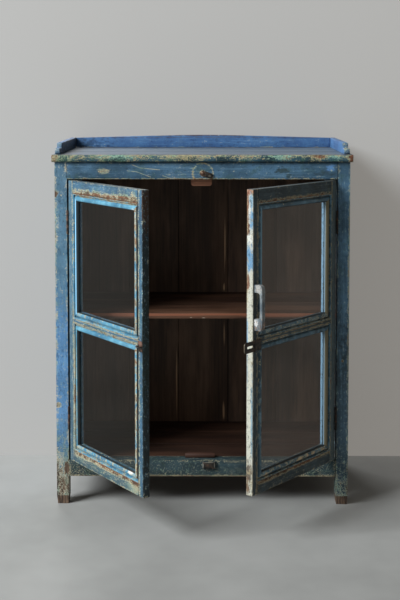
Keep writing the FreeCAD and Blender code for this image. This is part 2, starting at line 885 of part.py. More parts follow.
def staple_plate():
    reach = stile_flat / 2 - staple_plate_margin
    plate = block(staple_x - reach, staple_x + reach, -staple_plate_thickness, 0.0,
                  hasp_centre - staple_plate_height / 2, hasp_centre + staple_plate_height / 2)
    return rounded(plate, Y_AXIS, staple_plate_round)


legs = staple(staple_rod + staple_clearance, staple_root)
left_door["left_door_staple"] = [staple(staple_rod, staple_root), staple_plate().cut(legs)]
for name in ("left_door_lock_stile", "left_door_middle_rail"):
    left_door[name] = [left_door[name][0].cut(legs)]


# Pull handle: a flat bar bent into a D, thickened to two tall feet
handle_x = hasp_free_edge + stile_flat / 2


def pull_handle():
    x0 = handle_x - handle_width / 2
    z0, z1 = handle_bottom, handle_bottom + handle_length
    body = block(x0, x0 + handle_width, -handle_standoff, 0.0, z0, z1)
    outer = [e for e in edges_along(body, X_AXIS) if e.CenterOfMass.y < -handle_standoff / 2]
    body = body.makeFillet(handle_outer_round, outer)
    grip = block(x0, x0 + handle_width, -handle_standoff + handle_bar, handle_standoff,
                 z0 + handle_low_foot, z1 - handle_top_foot)
    inner = [e for e in edges_along(grip, X_AXIS) if e.CenterOfMass.y < 0]
    body = body.cut(grip.makeFillet(handle_inner_round, inner))
    rim = []
    for edge in body.Edges:
        on_side = abs(abs(edge.CenterOfMass.x - handle_x) - handle_width / 2) < joint_clearance
        if on_side and edge.CenterOfMass.y < -joint_clearance:
            rim.append(edge)
    return body.makeChamfer(handle_soften, rim)


handle = pull_handle()
handle_screws = []
stile = right_door["right_door_lock_stile"][0]
for z in (handle_bottom + handle_low_foot / 2, handle_bottom + handle_length - handle_top_foot / 2):
    base = vec(handle_x, door_thickness, z)
    length = door_thickness + handle_standoff / 2
    hole = wood_screw(base, -Y_AXIS, length, screw_clearance)
    stile = stile.cut(hole)
    handle = handle.cut(hole)
    handle_screws.append(wood_screw(base, -Y_AXIS, length))
right_door["right_door_pull_handle"] = [handle]
right_door["right_door_handle_screws"] = handle_screws

# Hasp: a leaf screwed to the right lock stile, a pin, and a slotted strap that swings on it
hasp_x = hasp_free_edge + hasp_edge_distance
hasp_y = -hasp_barrel - hasp_barrel_standoff
hasp_bottom = hasp_centre - hasp_height / 2
hasp_top = hasp_centre + hasp_height / 2
hasp_leaf_knuckle = hasp_height / 4
hasp_inner_bottom = hasp_bottom + hasp_leaf_knuckle
hasp_inner_top = hasp_top - hasp_leaf_knuckle
slot_low_x = staple_x - staple_span / 2 - staple_rod - slot_end_clearance
slot_high_x = staple_x + staple_span / 2 + staple_rod + slot_end_clearance
slot_half_height = staple_rod + slot_side_clearance


def hasp_round(make, radius, low, high):
    return make(radius, high - low, vec(hasp_x, hasp_y, low), Z_AXIS)


def hasp_leaf():
    leaf = block(hasp_x, hasp_free_edge + hasp_leaf_reach, -hasp_leaf_thickness, 0.0, hasp_bottom, hasp_top)
    corners = [e for e in edges_along(leaf, Y_AXIS) if e.CenterOfMass.x > hasp_x + hasp_barrel]
    leaf = leaf.makeFillet(hasp_barrel, corners)
    for low, high in ((hasp_bottom, hasp_inner_bottom), (hasp_inner_top, hasp_top)):
        leaf = leaf.fuse(hasp_round(turned, hasp_barrel, low, high))
    room = hasp_round(turned, hasp_barrel + sweep_clearance, hasp_inner_bottom, hasp_inner_top)
    bore = hasp_round(bored, hasp_pin + pin_clearance, hasp_bottom, hasp_top)
    return leaf.cut(room).cut(bore).removeSplitter()


def hasp_strap():
    end = slot_low_x - hasp_strap_end
    y0 = hasp_y - hasp_strap_thickness / 2
    y1 = hasp_y + hasp_strap_thickness / 2
    strap = block(end, hasp_x, y0, y1, hasp_bottom, hasp_top)
    corners = [e for e in edges_along(strap, Y_AXIS) if e.CenterOfMass.x < end + hasp_barrel]
    strap = strap.makeFillet(hasp_strap_round, corners)
    low = hasp_inner_bottom + knuckle_gap
    high = hasp_inner_top - knuckle_gap
    strap = strap.fuse(hasp_round(turned, hasp_barrel, low, high))
    for z0, z1 in ((hasp_bottom, low), (high, hasp_top)):
        strap = strap.cut(hasp_round(turned, hasp_barrel + sweep_clearance, z0, z1))
    slot = block(slot_low_x, slot_high_x, y0 - hasp_barrel, y1 + hasp_barrel,
                 hasp_centre - slot_half_height, hasp_centre + slot_half_height)
    strap = strap.cut(rounded(slot, Y_AXIS, slot_round))
    bore = hasp_round(bored, hasp_pin + pin_clearance, hasp_bottom, hasp_top)
    return strap.cut(bore).removeSplitter()


def hasp_pin_solid():
    pin = hasp_round(turned, hasp_pin, hasp_bottom - knuckle_gap, hasp_top + knuckle_gap)
    for low in (hasp_bottom - knuckle_gap - pin_head_height, hasp_top + knuckle_gap):
        pin = pin.fuse(pin_head(vec(hasp_x, hasp_y, low)))
    return pin.removeSplitter()


leaf = hasp_leaf()
hasp_screws = []
hasp_screw_x = (hasp_x + hasp_barrel + hasp_free_edge + hasp_leaf_reach) / 2 - hasp_barrel
for z in (hasp_inner_bottom, hasp_inner_top):
    base = vec(hasp_screw_x, -hasp_leaf_thickness, z)
    hole = wood_screw(base, Y_AXIS, screw_length, screw_clearance)
    leaf = leaf.cut(hole)
    stile = stile.cut(hole)
    right_door["right_door_middle_rail"] = [right_door["right_door_middle_rail"][0].cut(hole)]
    hasp_screws.append(wood_screw(base, Y_AXIS, screw_length))
right_door["right_door_lock_stile"] = [stile]
right_door["right_door_hasp_leaf"] = [leaf]
right_door["right_door_hasp_pin"] = [hasp_pin_solid()]
right_door["right_door_hasp_screws"] = hasp_screws
right_door["hasp_strap"] = [hasp_strap()]

# Turn the doors open about their hinge pins and put the origin under the middle of the stored box
for door, x, angle in ((left_door, pivot_x, -left_open_angle), (right_door, -pivot_x, right_open_angle)):
    for name, solids in door.items():
        for solid in solids:
            solid.rotate(vec(x, pivot_y, 0), Z_AXIS, angle)
        add(name, *solids)

everything = Part.makeCompound([s for solids in nodes.values() for s in solids])
box = everything.optimalBoundingBox(False)
origin_shift = -(box.YMin + box.YMax) / 2
for name, solids in nodes.items():
    shape = solids[0] if len(solids) == 1 else Part.makeCompound(solids)
    shape.translate(vec(0, origin_shift, 0))
    shape.exportStep("parts/" + name + ".step")
print(len(nodes), "nodes, origin moved by", round(origin_shift, 3))
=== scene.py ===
import bpy
import json
import math
from mathutils import Matrix, Vector

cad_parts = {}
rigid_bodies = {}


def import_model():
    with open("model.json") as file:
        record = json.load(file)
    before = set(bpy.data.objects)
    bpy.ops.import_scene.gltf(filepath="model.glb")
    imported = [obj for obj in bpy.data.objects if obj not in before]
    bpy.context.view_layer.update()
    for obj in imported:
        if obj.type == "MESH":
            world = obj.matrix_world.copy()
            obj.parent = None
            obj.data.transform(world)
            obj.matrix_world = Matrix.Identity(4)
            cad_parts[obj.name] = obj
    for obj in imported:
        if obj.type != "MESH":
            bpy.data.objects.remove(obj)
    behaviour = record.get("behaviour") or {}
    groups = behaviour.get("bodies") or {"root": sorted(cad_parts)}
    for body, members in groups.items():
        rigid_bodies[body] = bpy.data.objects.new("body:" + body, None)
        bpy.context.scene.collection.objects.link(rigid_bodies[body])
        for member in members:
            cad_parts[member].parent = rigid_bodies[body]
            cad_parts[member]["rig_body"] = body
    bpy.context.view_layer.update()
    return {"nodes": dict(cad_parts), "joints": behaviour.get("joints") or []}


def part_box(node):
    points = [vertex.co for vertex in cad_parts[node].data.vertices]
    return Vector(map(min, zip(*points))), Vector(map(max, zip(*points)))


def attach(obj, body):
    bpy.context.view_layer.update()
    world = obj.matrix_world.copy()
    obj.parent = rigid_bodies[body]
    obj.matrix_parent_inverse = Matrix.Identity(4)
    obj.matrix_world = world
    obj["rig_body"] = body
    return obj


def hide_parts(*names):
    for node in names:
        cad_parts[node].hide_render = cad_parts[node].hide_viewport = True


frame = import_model()
mm = 0.001

# The plan: millimetres, Y = 0 at the front of the posts, doors shut.
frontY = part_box("front_left_post")[0].y
carcassPlace = Matrix.Translation((0, frontY, 0))


def doorPlace(jointName):
    joint = next(j for j in frame["joints"] if j["name"] == jointName)
    pivot = Matrix.Translation(joint["pos_m"])
    opened = math.radians(-joint["range_deg"][0]) * joint["axis"][2]
    return pivot @ Matrix.Rotation(opened, 4, "Z") @ pivot.inverted() @ carcassPlace


places = {
    "carcass": carcassPlace,
    "left": doorPlace("left_door_swing"),
    "right": doorPlace("right_door_swing"),
}
print("frame loaded, doors placed")


# shader maths
class Value:
    def __init__(self, finish, socket):
        self.finish = finish
        self.socket = socket

    def maths(self, operation, first, second):
        return self.finish.node("Math", {"operation": operation}, {0: first, 1: second})

    def __add__(self, other):
        return self.maths("ADD", self, other)

    __radd__ = __add__

    def __sub__(self, other):
        return self.maths("SUBTRACT", self, other)

    def __rsub__(self, other):
        return self.maths("SUBTRACT", other, self)

    def __mul__(self, other):
        return self.maths("MULTIPLY", self, other)

    __rmul__ = __mul__

    def atMost(self, other):
        return self.maths("MINIMUM", self, other)

    def atLeast(self, other):
        return self.maths("MAXIMUM", self, other)

    def rise(self, start, end):  # 0 below start, 1 above end, smooth between
        return self.finish.node("MapRange", {"interpolation_type": "SMOOTHSTEP"},
                                {"Value": self, "From Min": start, "From Max": end})

    def fall(self, start, end):  # 1 below start, 0 above end
        return self.rise(end, start)


class Finish:
    def __init__(self, name):
        self.material = bpy.data.materials.new(name)
        self.material.use_nodes = True
        self.tree = self.material.node_tree
        self.tree.nodes.clear()

    def node(self, kind, settings=None, inputs=None, output=0):
        made = self.tree.nodes.new("ShaderNode" + kind)
        for key, value in (settings or {}).items():
            setattr(made, key, value)
        for key, value in (inputs or {}).items():
            if isinstance(value, Value):
                self.tree.links.new(value.socket, made.inputs[key])
            else:
                made.inputs[key].default_value = value
        return Value(self, made.outputs[output])

    def plan(self, place):  # Object coordinates brought back to the plan, in millimetres
        back = place.inverted()
        return self.node("Mapping", {"vector_type": "POINT"}, {
            "Vector": self.node("TexCoord", output="Object"),
            "Location": back.translation / mm,
            "Rotation": back.to_euler(),
            "Scale": (1 / mm, 1 / mm, 1 / mm),
        })

    def parts(self, vector):
        made = self.tree.nodes.new("ShaderNodeSeparateXYZ")
        self.tree.links.new(vector.socket, made.inputs[0])
        return [Value(self, out) for out in made.outputs]

    def stretch(self, vector, scale):
        return self.node("VectorMath", {"operation": "MULTIPLY"}, {0: vector, 1: scale})

    def noise(self, vector, scale, detail=3.0, rough=0.55, twist=0.0):
        return self.node("TexNoise", None, {"Vector": vector, "Scale": scale, "Detail": detail,
                                            "Roughness": rough, "Distortion": twist})

    def mix(self, mask, first, second):
        return self.node("Mix", {"data_type": "RGBA"}, {0: mask, 6: first, 7: second}, 2)

    def spot(self, vector, at, size):  # distance from a place, 1 at the spot's rim
        away = self.node("VectorMath", {"operation": "SUBTRACT"}, {0: vector, 1: at})
        away = self.node("VectorMath", {"operation": "DIVIDE"}, {0: away, 1: size})
        return self.node("VectorMath", {"operation": "LENGTH"}, {0: away}, "Value")

    def line(self, vector, a, b):  # distance from the stretch between two places
        a, b = Vector(a), Vector(b)
        along = b - a
        away = self.node("VectorMath", {"operation": "SUBTRACT"}, {0: vector, 1: a})
        share = self.node("VectorMath", {"operation": "DOT_PRODUCT"},
                          {0: away, 1: along / along.length_squared}, "Value")
        share = share.atLeast(0.0).atMost(1.0)
        foot = self.node("VectorMath", {"operation": "SCALE"}, {0: along, "Scale": share})
        return self.node("VectorMath", {"operation": "DISTANCE"}, {0: away, 1: foot}, "Value")

    def surface(self, colour, rough, height=None, depth=0.4, bump=0.5, metal=0.0, alpha=1.0, gloss=0.5):
        inputs = {"Base Color": colour, "Roughness": rough, "Metallic": metal, "Alpha": alpha,
                  "Specular IOR Level": gloss}
        if height is not None:
            inputs["Normal"] = self.node("Bump", None, {"Strength": bump, "Distance": depth * mm,
                                                        "Height": height})
        return self.finished(self.node("BsdfPrincipled", None, inputs))

    def finished(self, shader):
        out = self.tree.nodes.new("ShaderNodeOutputMaterial")
        self.tree.links.new(shader.socket, out.inputs["Surface"])
        return self.material


def tone(red, green, blue):  # a colour as a picture editor writes it, 0 to 255
    def linear(c):
        c /= 255
        return c / 12.92 if c <= 0.04045 else ((c + 0.055) / 1.055) ** 2.4
    return (linear(red), linear(green), linear(blue), 1.0)


# finishes
bluePaint = {
    "place": "carcass",
    "dark": tone(36, 52, 62),
    "deep": tone(58, 88, 110),
    "middle": tone(76, 112, 140),
    "bright": tone(108, 146, 172),
    "teal": tone(66, 96, 100),
    "primer": tone(196, 190, 156),
    "mint": tone(146, 176, 158),
    "wood": tone(118, 82, 60),
    "woodDark": tone(62, 48, 40),
    "grain": (1, 1, 0.03),   # stretched along the grain, here upright
    "limits": None,          # the piece's own box, for worn edges
    "edgeWidth": 9.0,
    "edgeWear": 1.3,         # wear is counted in steps of the noise's usual swing
    "primerAt": 2.3,
    "woodAt": 1.2,           # more than primerAt
    "inner": None,           # (plan X, way) of a face that is bare inside
    "boards": (tone(44, 32, 25), tone(84, 60, 46)),  # that face's wood
    "bands": [],             # (axis, place, width, amount): wear along a line
    "lowWear": 0.0,          # more wear near the floor
    "lowReach": (70, 260),   # the heights over which that fades
    "bareBelow": None,       # height of the bare foot
    "fleck": (0.45, 0.4, 0.15),  # shares of flakes, specks and strokes
    "patches": [],           # (place, size, amount) of more wear, or of less with a minus
    "rings": [],             # (centre, radius, width, amount) of wear left by something that turns
    "scratches": [],         # lists of places on the way
    "tints": [],             # (place, size, strength, colour) of another paint
}
gritSwing = 26.0             # brings the mixed noise to a swing of about one
chipSoft = 0.4               # how gradually a chip's edge shows, in the same steps
flakeGrain = 0.55            # flakes are drawn out this much along the grain
paintNoise = {               # scale, detail, roughness
    "clouds": (0.011, 2.0),
    "mottle": (0.035, 5.0, 0.6),
    "flakes": (0.1, 7.0, 0.75),
    "specks": (0.34, 4.0, 0.65),
    "strokes": (0.2, 4.0, 0.6),
}


def edgeDistance(limits, x, y, z):  # distance from the nearest edge of a box
    x0, x1, y0, y1, z0, z1 = limits
    a = (x - x0).atMost(x1 - x)
    b = (y - y0).atMost(y1 - y)
    c = (z - z0).atMost(z1 - z)
    return a.atMost(b).atLeast(a.atLeast(b).atMost(c))


class Paint(Finish):  # the noises that every painted piece shares
    def __init__(self, name, place, grain, fleck=bluePaint["fleck"]):
        super().__init__(name)
        flakes, specks, strokes = fleck
        self.at = self.plan(places[place])
        self.xyz = self.parts(self.at)
        drawnOut = self.stretch(self.at, [1 if g == 1 else flakeGrain for g in grain])
        self.clouds = self.noise(self.at, *paintNoise["clouds"])
        self.mottle = self.noise(self.at, *paintNoise["mottle"])
        self.flakes = self.noise(drawnOut, *paintNoise["flakes"])
        self.specks = self.noise(self.at, *paintNoise["specks"])
        self.strokes = self.noise(self.stretch(self.at, grain), *paintNoise["strokes"])
        mixed = flakes * self.flakes + specks * self.specks + strokes * self.strokes
        self.grit = (mixed - 0.5) * gritSwing
        self.ragged = (self.flakes - 0.5) * 4.0

    def band(self, axis, at, width):
        near = (self.xyz[axis] - at).atLeast(at - self.xyz[axis])
        return near.fall(width * 0.4, width) * (self.mottle.rise(0.4, 0.6) * 0.8 + 0.5)

    def patch(self, at, size):
        return (self.spot(self.at, at, size) + self.ragged).fall(0.5, 1.05)


def paintedWood(name, **changes):
    look = bluePaint | changes
    f = Paint(name, look["place"], look["grain"], look["fleck"])
    wear = f.grit - look["primerAt"]
    if look["limits"]:
        edge = edgeDistance(look["limits"], *f.xyz) + (f.mottle - 0.5) * 20.0
        wear = wear + edge.fall(0.0, look["edgeWidth"]) * look["edgeWear"]
    if look["lowWear"]:
        wear = wear + f.xyz[2].fall(*look["lowReach"]) * look["lowWear"]
    if look["bareBelow"]:
        wear = wear + (f.xyz[2] + f.ragged * 2.0).fall(look["bareBelow"] - 1.5, look["bareBelow"]) * 6.0
    for axis, at, width, amount in look["bands"]:
        wear = wear + f.band(axis, at, width) * amount
    for at, size, amount in look["patches"]:
        wear = wear + f.patch(at, size) * amount
    for centre, radius, width, amount in look["rings"]:
        off = f.spot(f.at, centre, (1, 1000, 1)) - radius
        wear = wear + off.atLeast(0.0 - off).fall(0.0, width) * amount
    colour = f.mix(f.clouds.rise(0.36, 0.64), look["deep"], look["middle"])
    colour = f.mix(f.mottle.rise(0.5, 0.66) * 0.6, colour, look["teal"])
    colour = f.mix(f.strokes.rise(0.5, 0.7) * 0.35, colour, look["bright"])
    for at, size, strength, other in look["tints"]:
        colour = f.mix(f.patch(at, size) * strength, colour, other)
    colour = f.mix(f.grit.rise(0.9, 2.2) * 0.5, colour, look["bright"])
    colour = f.mix(f.grit.fall(-1.9, -0.8) * 0.65, colour, look["dark"])
    primer = wear.rise(0.0, chipSoft)
    for points in look["scratches"]:
        for start, end in zip(points, points[1:]):
            scratch = f.line(f.at, start, end).fall(0.5, 1.6) * f.specks.rise(0.36, 0.5)
            primer = primer.atLeast(scratch * 0.8)
    bare = wear.rise(look["woodAt"], look["woodAt"] + chipSoft)
    pale = f.mix(f.mottle.rise(0.46, 0.58) * 0.7, look["primer"], look["mint"])
    colour = f.mix(primer, colour, pale)
    colour = f.mix(bare, colour, f.mix(f.strokes.rise(0.4, 0.58), look["woodDark"], look["wood"]))
    if look["inner"]:
        face, way = look["inner"]
        board = f.mix(f.strokes.rise(0.34, 0.66), *look["boards"])
        colour = f.mix(((f.xyz[0] - face) * way).rise(-1.4, -0.8), colour, board)
    height = f.strokes * 0.3 + f.specks * 0.25 - primer * 0.3 - bare * 0.4
    rough = 0.5 + 0.25 * bare + 0.25 * (f.specks - 0.5)
    return f.surface(colour, rough, height, gloss=0.3)


brownWood = {
    "place": "carcass",
    "dark": tone(60, 48, 41),
    "middle": tone(92, 73, 61),
    "pale": tone(150, 120, 98),
    "grain": (1, 1, 0.02),
    "marks": [],             # (place, size, strength, colour)
}
woodNoise = {"clouds": (0.016, 4.0, 0.6), "lines": (0.16, 6.0, 0.65, 0.6), "pores": (0.9, 3.0, 0.6)}
cloudGrain = 0.16            # the clouds follow the grain less closely than its lines


def bareWood(name, **changes):
    look = brownWood | changes
    f = Finish(name)
    p = f.plan(places[look["place"]])
    along = f.stretch(p, look["grain"])
    clouds = f.noise(f.stretch(p, [1 if g == 1 else cloudGrain for g in look["grain"]]), *woodNoise["clouds"])
    lines = f.noise(along, *woodNoise["lines"])
    pores = f.noise(along, *woodNoise["pores"])
    colour = f.mix(lines.rise(0.24, 0.76), look["dark"], look["middle"])
    colour = f.mix(clouds.rise(0.42, 0.72) * 0.4, colour, look["pale"])
    colour = f.mix(clouds.fall(0.3, 0.52) * 0.4, colour, look["dark"])
    colour = f.mix(pores.fall(0.3, 0.45) * 0.25, colour, look["dark"])
    for at, size, strength, other in look["marks"]:
        mark = (f.spot(p, at, size) + (lines - 0.5) * 2.0 + (clouds - 0.5) * 2.0).fall(0.4, 1.0)
        colour = f.mix(mark * strength, colour, other)
    return f.surface(colour, 0.62 + 0.2 * (lines - 0.5), lines * 0.5 + pores * 0.4, 0.5, gloss=0.3)


metalNoise = {"clouds": (0.09, 4.0, 0.6), "specks": (0.7, 4.0, 0.65)}
metalGlint = tone(150, 146, 138)


def oldMetal(name, place, dark, pale, rust, rustAt, polish, marks):
    f = Finish(name)
    p = f.plan(places[place])
    clouds = f.noise(p, *metalNoise["clouds"])
    specks = f.noise(p, *metalNoise["specks"])
    colour = f.mix(clouds.rise(0.4, 0.65), dark, pale)
    rusted = (clouds * 0.5 + specks * 0.5).rise(rustAt, rustAt + 0.06)
    colour = f.mix(rusted, colour, rust)
    for at, size, strength, other in marks:
        mark = (f.spot(p, at, size) + (clouds - 0.5) * 2.0 + (specks - 0.5) * 2.0).fall(0.5, 1.0)
        colour = f.mix(mark * strength, colour, other)
    colour = f.mix(specks.rise(0.62, 0.7) * 0.5, colour, metalGlint)
    rough = polish + 0.3 * rusted + 0.25 * (specks - 0.5)
    return f.surface(colour, rough, specks * 0.5 - rusted * 0.3, 0.2, metal=(1.0 - rusted) * 0.5)


paneLook = {"film": tone(232, 226, 218), "ior": 1.5, "dust": (0.012, 4.0, 0.6), "smear": (0.03, 3.0)}


def oldGlass(name, place, dusty, shine):  # clear, with a thin bright film on its front
    f = Finish(name)
    p = f.plan(places[place])
    dust = f.noise(p, *paneLook["dust"])
    smear = f.noise(f.stretch(p, (1, 1, 0.2)), *paneLook["smear"])
    facing = 1 - f.node("NewGeometry", output="Backfacing")
    film = f.node("Fresnel", None, {"IOR": paneLook["ior"]}) * facing * shine
    veil = dusty * (0.6 + 0.6 * dust + 0.4 * smear.rise(0.45, 0.75))
    return f.surface(paneLook["film"], 0.06 + 0.1 * dust, metal=1.0, alpha=film + veil)


# modelling
square = 0.9     # a face looks along an axis when its normal is past this
straight = 0.99  # and so an edge runs along one


def wake(piece=None):
    if bpy.context.mode != "OBJECT":
        bpy.ops.object.mode_set(mode="OBJECT")
    bpy.ops.object.select_all(action="DESELECT")
    if piece:
        piece.select_set(True)
        bpy.context.view_layer.objects.active = piece


def startBox(node, x0, x1, y0, y1, z0, z1):
    wake()
    middle = Vector((x0 + x1, y0 + y1, z0 + z1)) * (mm / 2)
    bpy.ops.mesh.primitive_cube_add(size=mm, location=middle)
    piece = bpy.context.object
    piece.name = piece.data.name = camel(node)
    piece.scale = (x1 - x0, y1 - y0, z1 - z0)
    bpy.ops.object.transform_apply(location=True, rotation=True, scale=True)
    return piece


def pick(piece, kind, test):  # select faces, edges or corners by their place in millimetres
    wake(piece)
    bpy.ops.object.mode_set(mode="EDIT")
    bpy.ops.mesh.select_mode(type=kind)
    bpy.ops.mesh.select_all(action="DESELECT")
    bpy.ops.object.mode_set(mode="OBJECT")
    mesh = piece.data
    if kind == "FACE":
        for face in mesh.polygons:
            face.select = bool(test(face.center / mm, face.normal))
    elif kind == "EDGE":
        for edge in mesh.edges:
            a, b = (mesh.vertices[i].co / mm for i in edge.vertices)
            edge.select = bool(test((a + b) / 2, (b - a).normalized()))
    else:
        for corner in mesh.vertices:
            corner.select = bool(test(corner.co / mm))
    bpy.ops.object.mode_set(mode="EDIT")


def pull(x, y, z):  # extrude what is selected
    bpy.ops.mesh.extrude_region_move(TRANSFORM_OT_translate={"value": (x * mm, y * mm, z * mm)})


def takeAll(piece):
    wake(piece)
    bpy.ops.object.mode_set(mode="EDIT")
    bpy.ops.mesh.select_mode(type="FACE")
    bpy.ops.mesh.select_all(action="SELECT")


def cut(piece, axis, at):
    takeAll(piece)
    point = [0, 0, 0]
    way = [0, 0, 0]
    point[axis] = at * mm
    way[axis] = 1
    bpy.ops.mesh.bisect(plane_co=point, plane_no=way)


def modify(piece, kind, **settings):
    wake(piece)
    made = piece.modifiers.new(kind.lower(), kind)
    for key, value in settings.items():
        setattr(made, key, value)
    bpy.ops.object.modifier_apply(modifier=made.name)


def roundEdges(piece, width, segments, sharp):  # those that turn by more than sharp degrees
    modify(piece, "BEVEL", width=width * mm, segments=segments, limit_method="ANGLE",
           angle_limit=math.radians(sharp))


planedWaves = bpy.data.textures.new("planedWaves", "CLOUDS")
planedWaves.noise_scale = 0.028
planedWaves.noise_depth = 3


def weather(piece, along, spacing=14.0, edge=1.5, wave=0.9):  # planed by hand, edges worn soft
    ends = [corner.co[along] for corner in piece.data.vertices]
    cuts = max(1, int((max(ends) - min(ends)) / mm / spacing))
    pick(piece, "EDGE", lambda middle, way: abs(way[along]) > straight)
    bpy.ops.mesh.subdivide(number_cuts=cuts)
    roundEdges(piece, edge, segments=2, sharp=40)
    modify(piece, "DISPLACE", texture=planedWaves, strength=wave * mm, mid_level=0.95, texture_coords="LOCAL")


def present(piece, node, material, smooth):  # a finished piece stands in for its solid
    wake(piece)
    bpy.ops.object.shade_smooth_by_angle(angle=math.radians(smooth))
    piece.data.materials.clear()
    piece.data.materials.append(material)
    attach(piece, frame["nodes"][node]["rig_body"])
    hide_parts(node)


def settle(piece, node, place, material, smooth=35):  # from the plan to its own place
    wake(piece)
    piece.matrix_world = places[place]
    bpy.ops.object.transform_apply(location=True, rotation=True, scale=True)
    present(piece, node, material, smooth)


def paintOver(piece, node, slot="blue_wood", **look):
    finish = paintedWood(camel(node) + "Paint", **look)
    settle(piece, node, look.get("place", bluePaint["place"]), finish)


def dress(node, material):  # a solid whose shape is right keeps it and gets its finish
    solid = frame["nodes"][node]
    solid.data.materials.clear()
    solid.data.materials.append(material)


def camel(node):
    head, *rest = node.split("_")
    return head + "".join(word.capitalize() for word in rest)


def marksAt(y, deep, *marks):  # on an upright face: (x, z, half width, half height, and the rest)
    return [((x, y, z), (wide, deep, high), *rest) for x, z, wide, high, *rest in marks]


alongX, alongY, alongZ = 0, 1, 2
grainAcross = (0.03, 1, 1)
grainDeep = (1, 0.03, 1)
grainUp = (1, 1, 0.03)
midZ = 573     # half way up the doors
allOver = 900  # a half size that takes in any piece
clearOf = 50   # how far limits run past an end that has no worn edge

# posts
postSize = {"inner": 412, "outer": 450, "depth": 42, "rear": 378, "height": 1061, "foot": 27, "taper": 2.5}
postPatches = {
    "front_left_post": marksAt(
        0, 30, (-448, 967, 12, 13, 4.4), (-430, 961, 4, 4, 3), (-441, 311, 10, 12, 3),
        (-418, 113, 8, 24, 4.2), (-446, 860, 14, 130, 1.3), (-446, 560, 12, 240, 0.9),
        (-417, 1042, 5, 14, 1.8),
    ) + marksAt(0, 40, (-436, 50, 34, 40, 1.7), (-436, 110, 30, 60, 0.8)),
    "front_right_post": marksAt(
        0, 30, (429, 450, 7, 6, 4), (448, 620, 8, 460, 1.5), (416, 1040, 5, 16, 1.6),
    ) + marksAt(0, 40, (431, 50, 34, 44, 0.9)),
    "back_left_post": marksAt(420, 40, (-446, 700, 20, 260, 0.9)),
    "back_right_post": marksAt(420, 40, (446, 500, 20, 260, 0.9)),
}
postTints = {
    "front_left_post": [
        ((-431, 0, 560), (200, 200, 1200), 0.55, tone(104, 146, 172)),
        ((-431, 0, 130), (60, 60, 160), 0.5, tone(104, 132, 132)),
        # a painted highlight along the post's outer edge
        ((-452, 0, 760), (7, 40, 420), 0.6, tone(116, 158, 182)),
        ((-431, 0, 400), (60, 60, 260), 0.6, tone(98, 150, 206)),
        ((-431, 0, 1010), (60, 60, 90), 0.4, tone(66, 92, 110)),
    ],
    # painted shade: the post darker low down and midway, where the open right door shades it, and its inner
    # face dark beside that door
    "front_right_post": [
        ((431, 0, 250), (60, 60, 330), 0.7, tone(48, 62, 68)),
        ((431, 0, 640), (60, 60, 200), 0.35, tone(54, 76, 88)),
        ((412, 21, midZ), (1.5, 60, allOver), 0.9, tone(22, 26, 28)),
    ],
}
postPaint = {
    "left": {"primer": tone(206, 202, 178), "lowWear": 2.0, "primerAt": 1.9},
    "right": {"primer": tone(148, 156, 140), "lowWear": 1.4, "primerAt": 2.1},
}
postWood = {"wood": tone(112, 92, 76), "woodDark": tone(66, 55, 48), "fleck": (0.5, 0.42, 0.08)}
# painted shade on the post's face in the gap beside the door
postGapShade = {"y": 20, "size": (2.5, 19, allOver), "strength": 0.85, "shade": tone(14, 18, 22)}  # by the door


def makePost(node):
    s = postSize
    side = "left" if "left" in node else "right"
    x0, x1 = (-s["outer"], -s["inner"]) if side == "left" else (s["inner"], s["outer"])
    y0, y1 = (0, s["depth"]) if "front" in node else (s["rear"], s["rear"] + s["depth"])
    post = startBox(node, x0, x1, y0, y1, 0, s["height"])
    cut(post, alongZ, s["foot"])
    pick(post, "VERT", lambda at: at.z < 1)
    width, depth = x1 - x0, y1 - y0
    bpy.ops.transform.resize(value=(1 - 2 * s["taper"] / width, 1 - 2 * s["taper"] / depth, 1),
                             center_override=((x0 + x1) * mm / 2, (y0 + y1) * mm / 2, 0))
    weather(post, alongZ)
    doorX = x1 if side == "left" else x0
    # the gap beside the door gets painted shade
    gap = ((doorX, postGapShade["y"], midZ), postGapShade["size"], postGapShade["strength"], postGapShade["shade"])
    paintOver(post, node, limits=(x0, x1, y0, y1, -clearOf, s["height"] + clearOf), bareBelow=s["foot"],
              patches=postPatches[node], tints=postTints.get(node, []) + [gap], **postWood, **postPaint[side])


for node in postPatches:
    makePost(node)
print("posts")

# front rails
topRail = {"x": 412, "y": (0, 24), "z": (1009, 1061)}
bottomRail = {"x": 412, "y": (0, 42), "z": (87, 138)}
topRailLook = {
    "edgeWear": 1.2,
    "patches": marksAt(
        0, 30, (-301, 1034, 26, 12, 3.0), (-80, 1030, 70, 24, 0.9), (2, 1028, 34, 30, 0.9),
        (1, 1028, 11, 11, 3.6), (392, 1036, 5, 3, 3),
    ),
    "rings": [((2, 0, 1027.5), 31.0, 6.0, 2.3)],  # left by the turn button
    "bands": [(alongZ, 1009.5, 4.0, 2.0)],
    "scratches": [
        [(-213, 0, 1053.6), (-191, 0, 1044), (-130, 0, 1038)],
        [(-228, 0, 1035), (-200, 0, 1032), (-157, 0, 1016)],
        [(-120, 0, 1020), (-96, 0, 1012)],
    ],
    "tints": marksAt(
        0, 30, (245, 1036, 24, 13, 0.75, tone(46, 60, 58)), (262, 1020, 9, 10, 0.7, tone(44, 60, 54)),
        (373, 1027, 34, 9, 0.55, tone(48, 66, 72)), (391, 1044, 15, 13, 0.9, tone(92, 138, 188)),
    ),
}
bottomRailLook = {
    "edgeWear": 1.5, "primerAt": 2.2, "fleck": (0.3, 0.66, 0.04),
    "dark": tone(24, 34, 36), "deep": tone(35, 52, 58), "middle": tone(47, 69, 76),
    "bright": tone(72, 98, 108), "teal": tone(44, 60, 56),
    "bands": [(alongZ, 88, 5.0, 2.2)],
    "patches": marksAt(0, 30, (-380, 108, 60, 30, 1.0), (340, 108, 80, 26, 0.9), (0, 100, 400, 16, 0.6)),
}


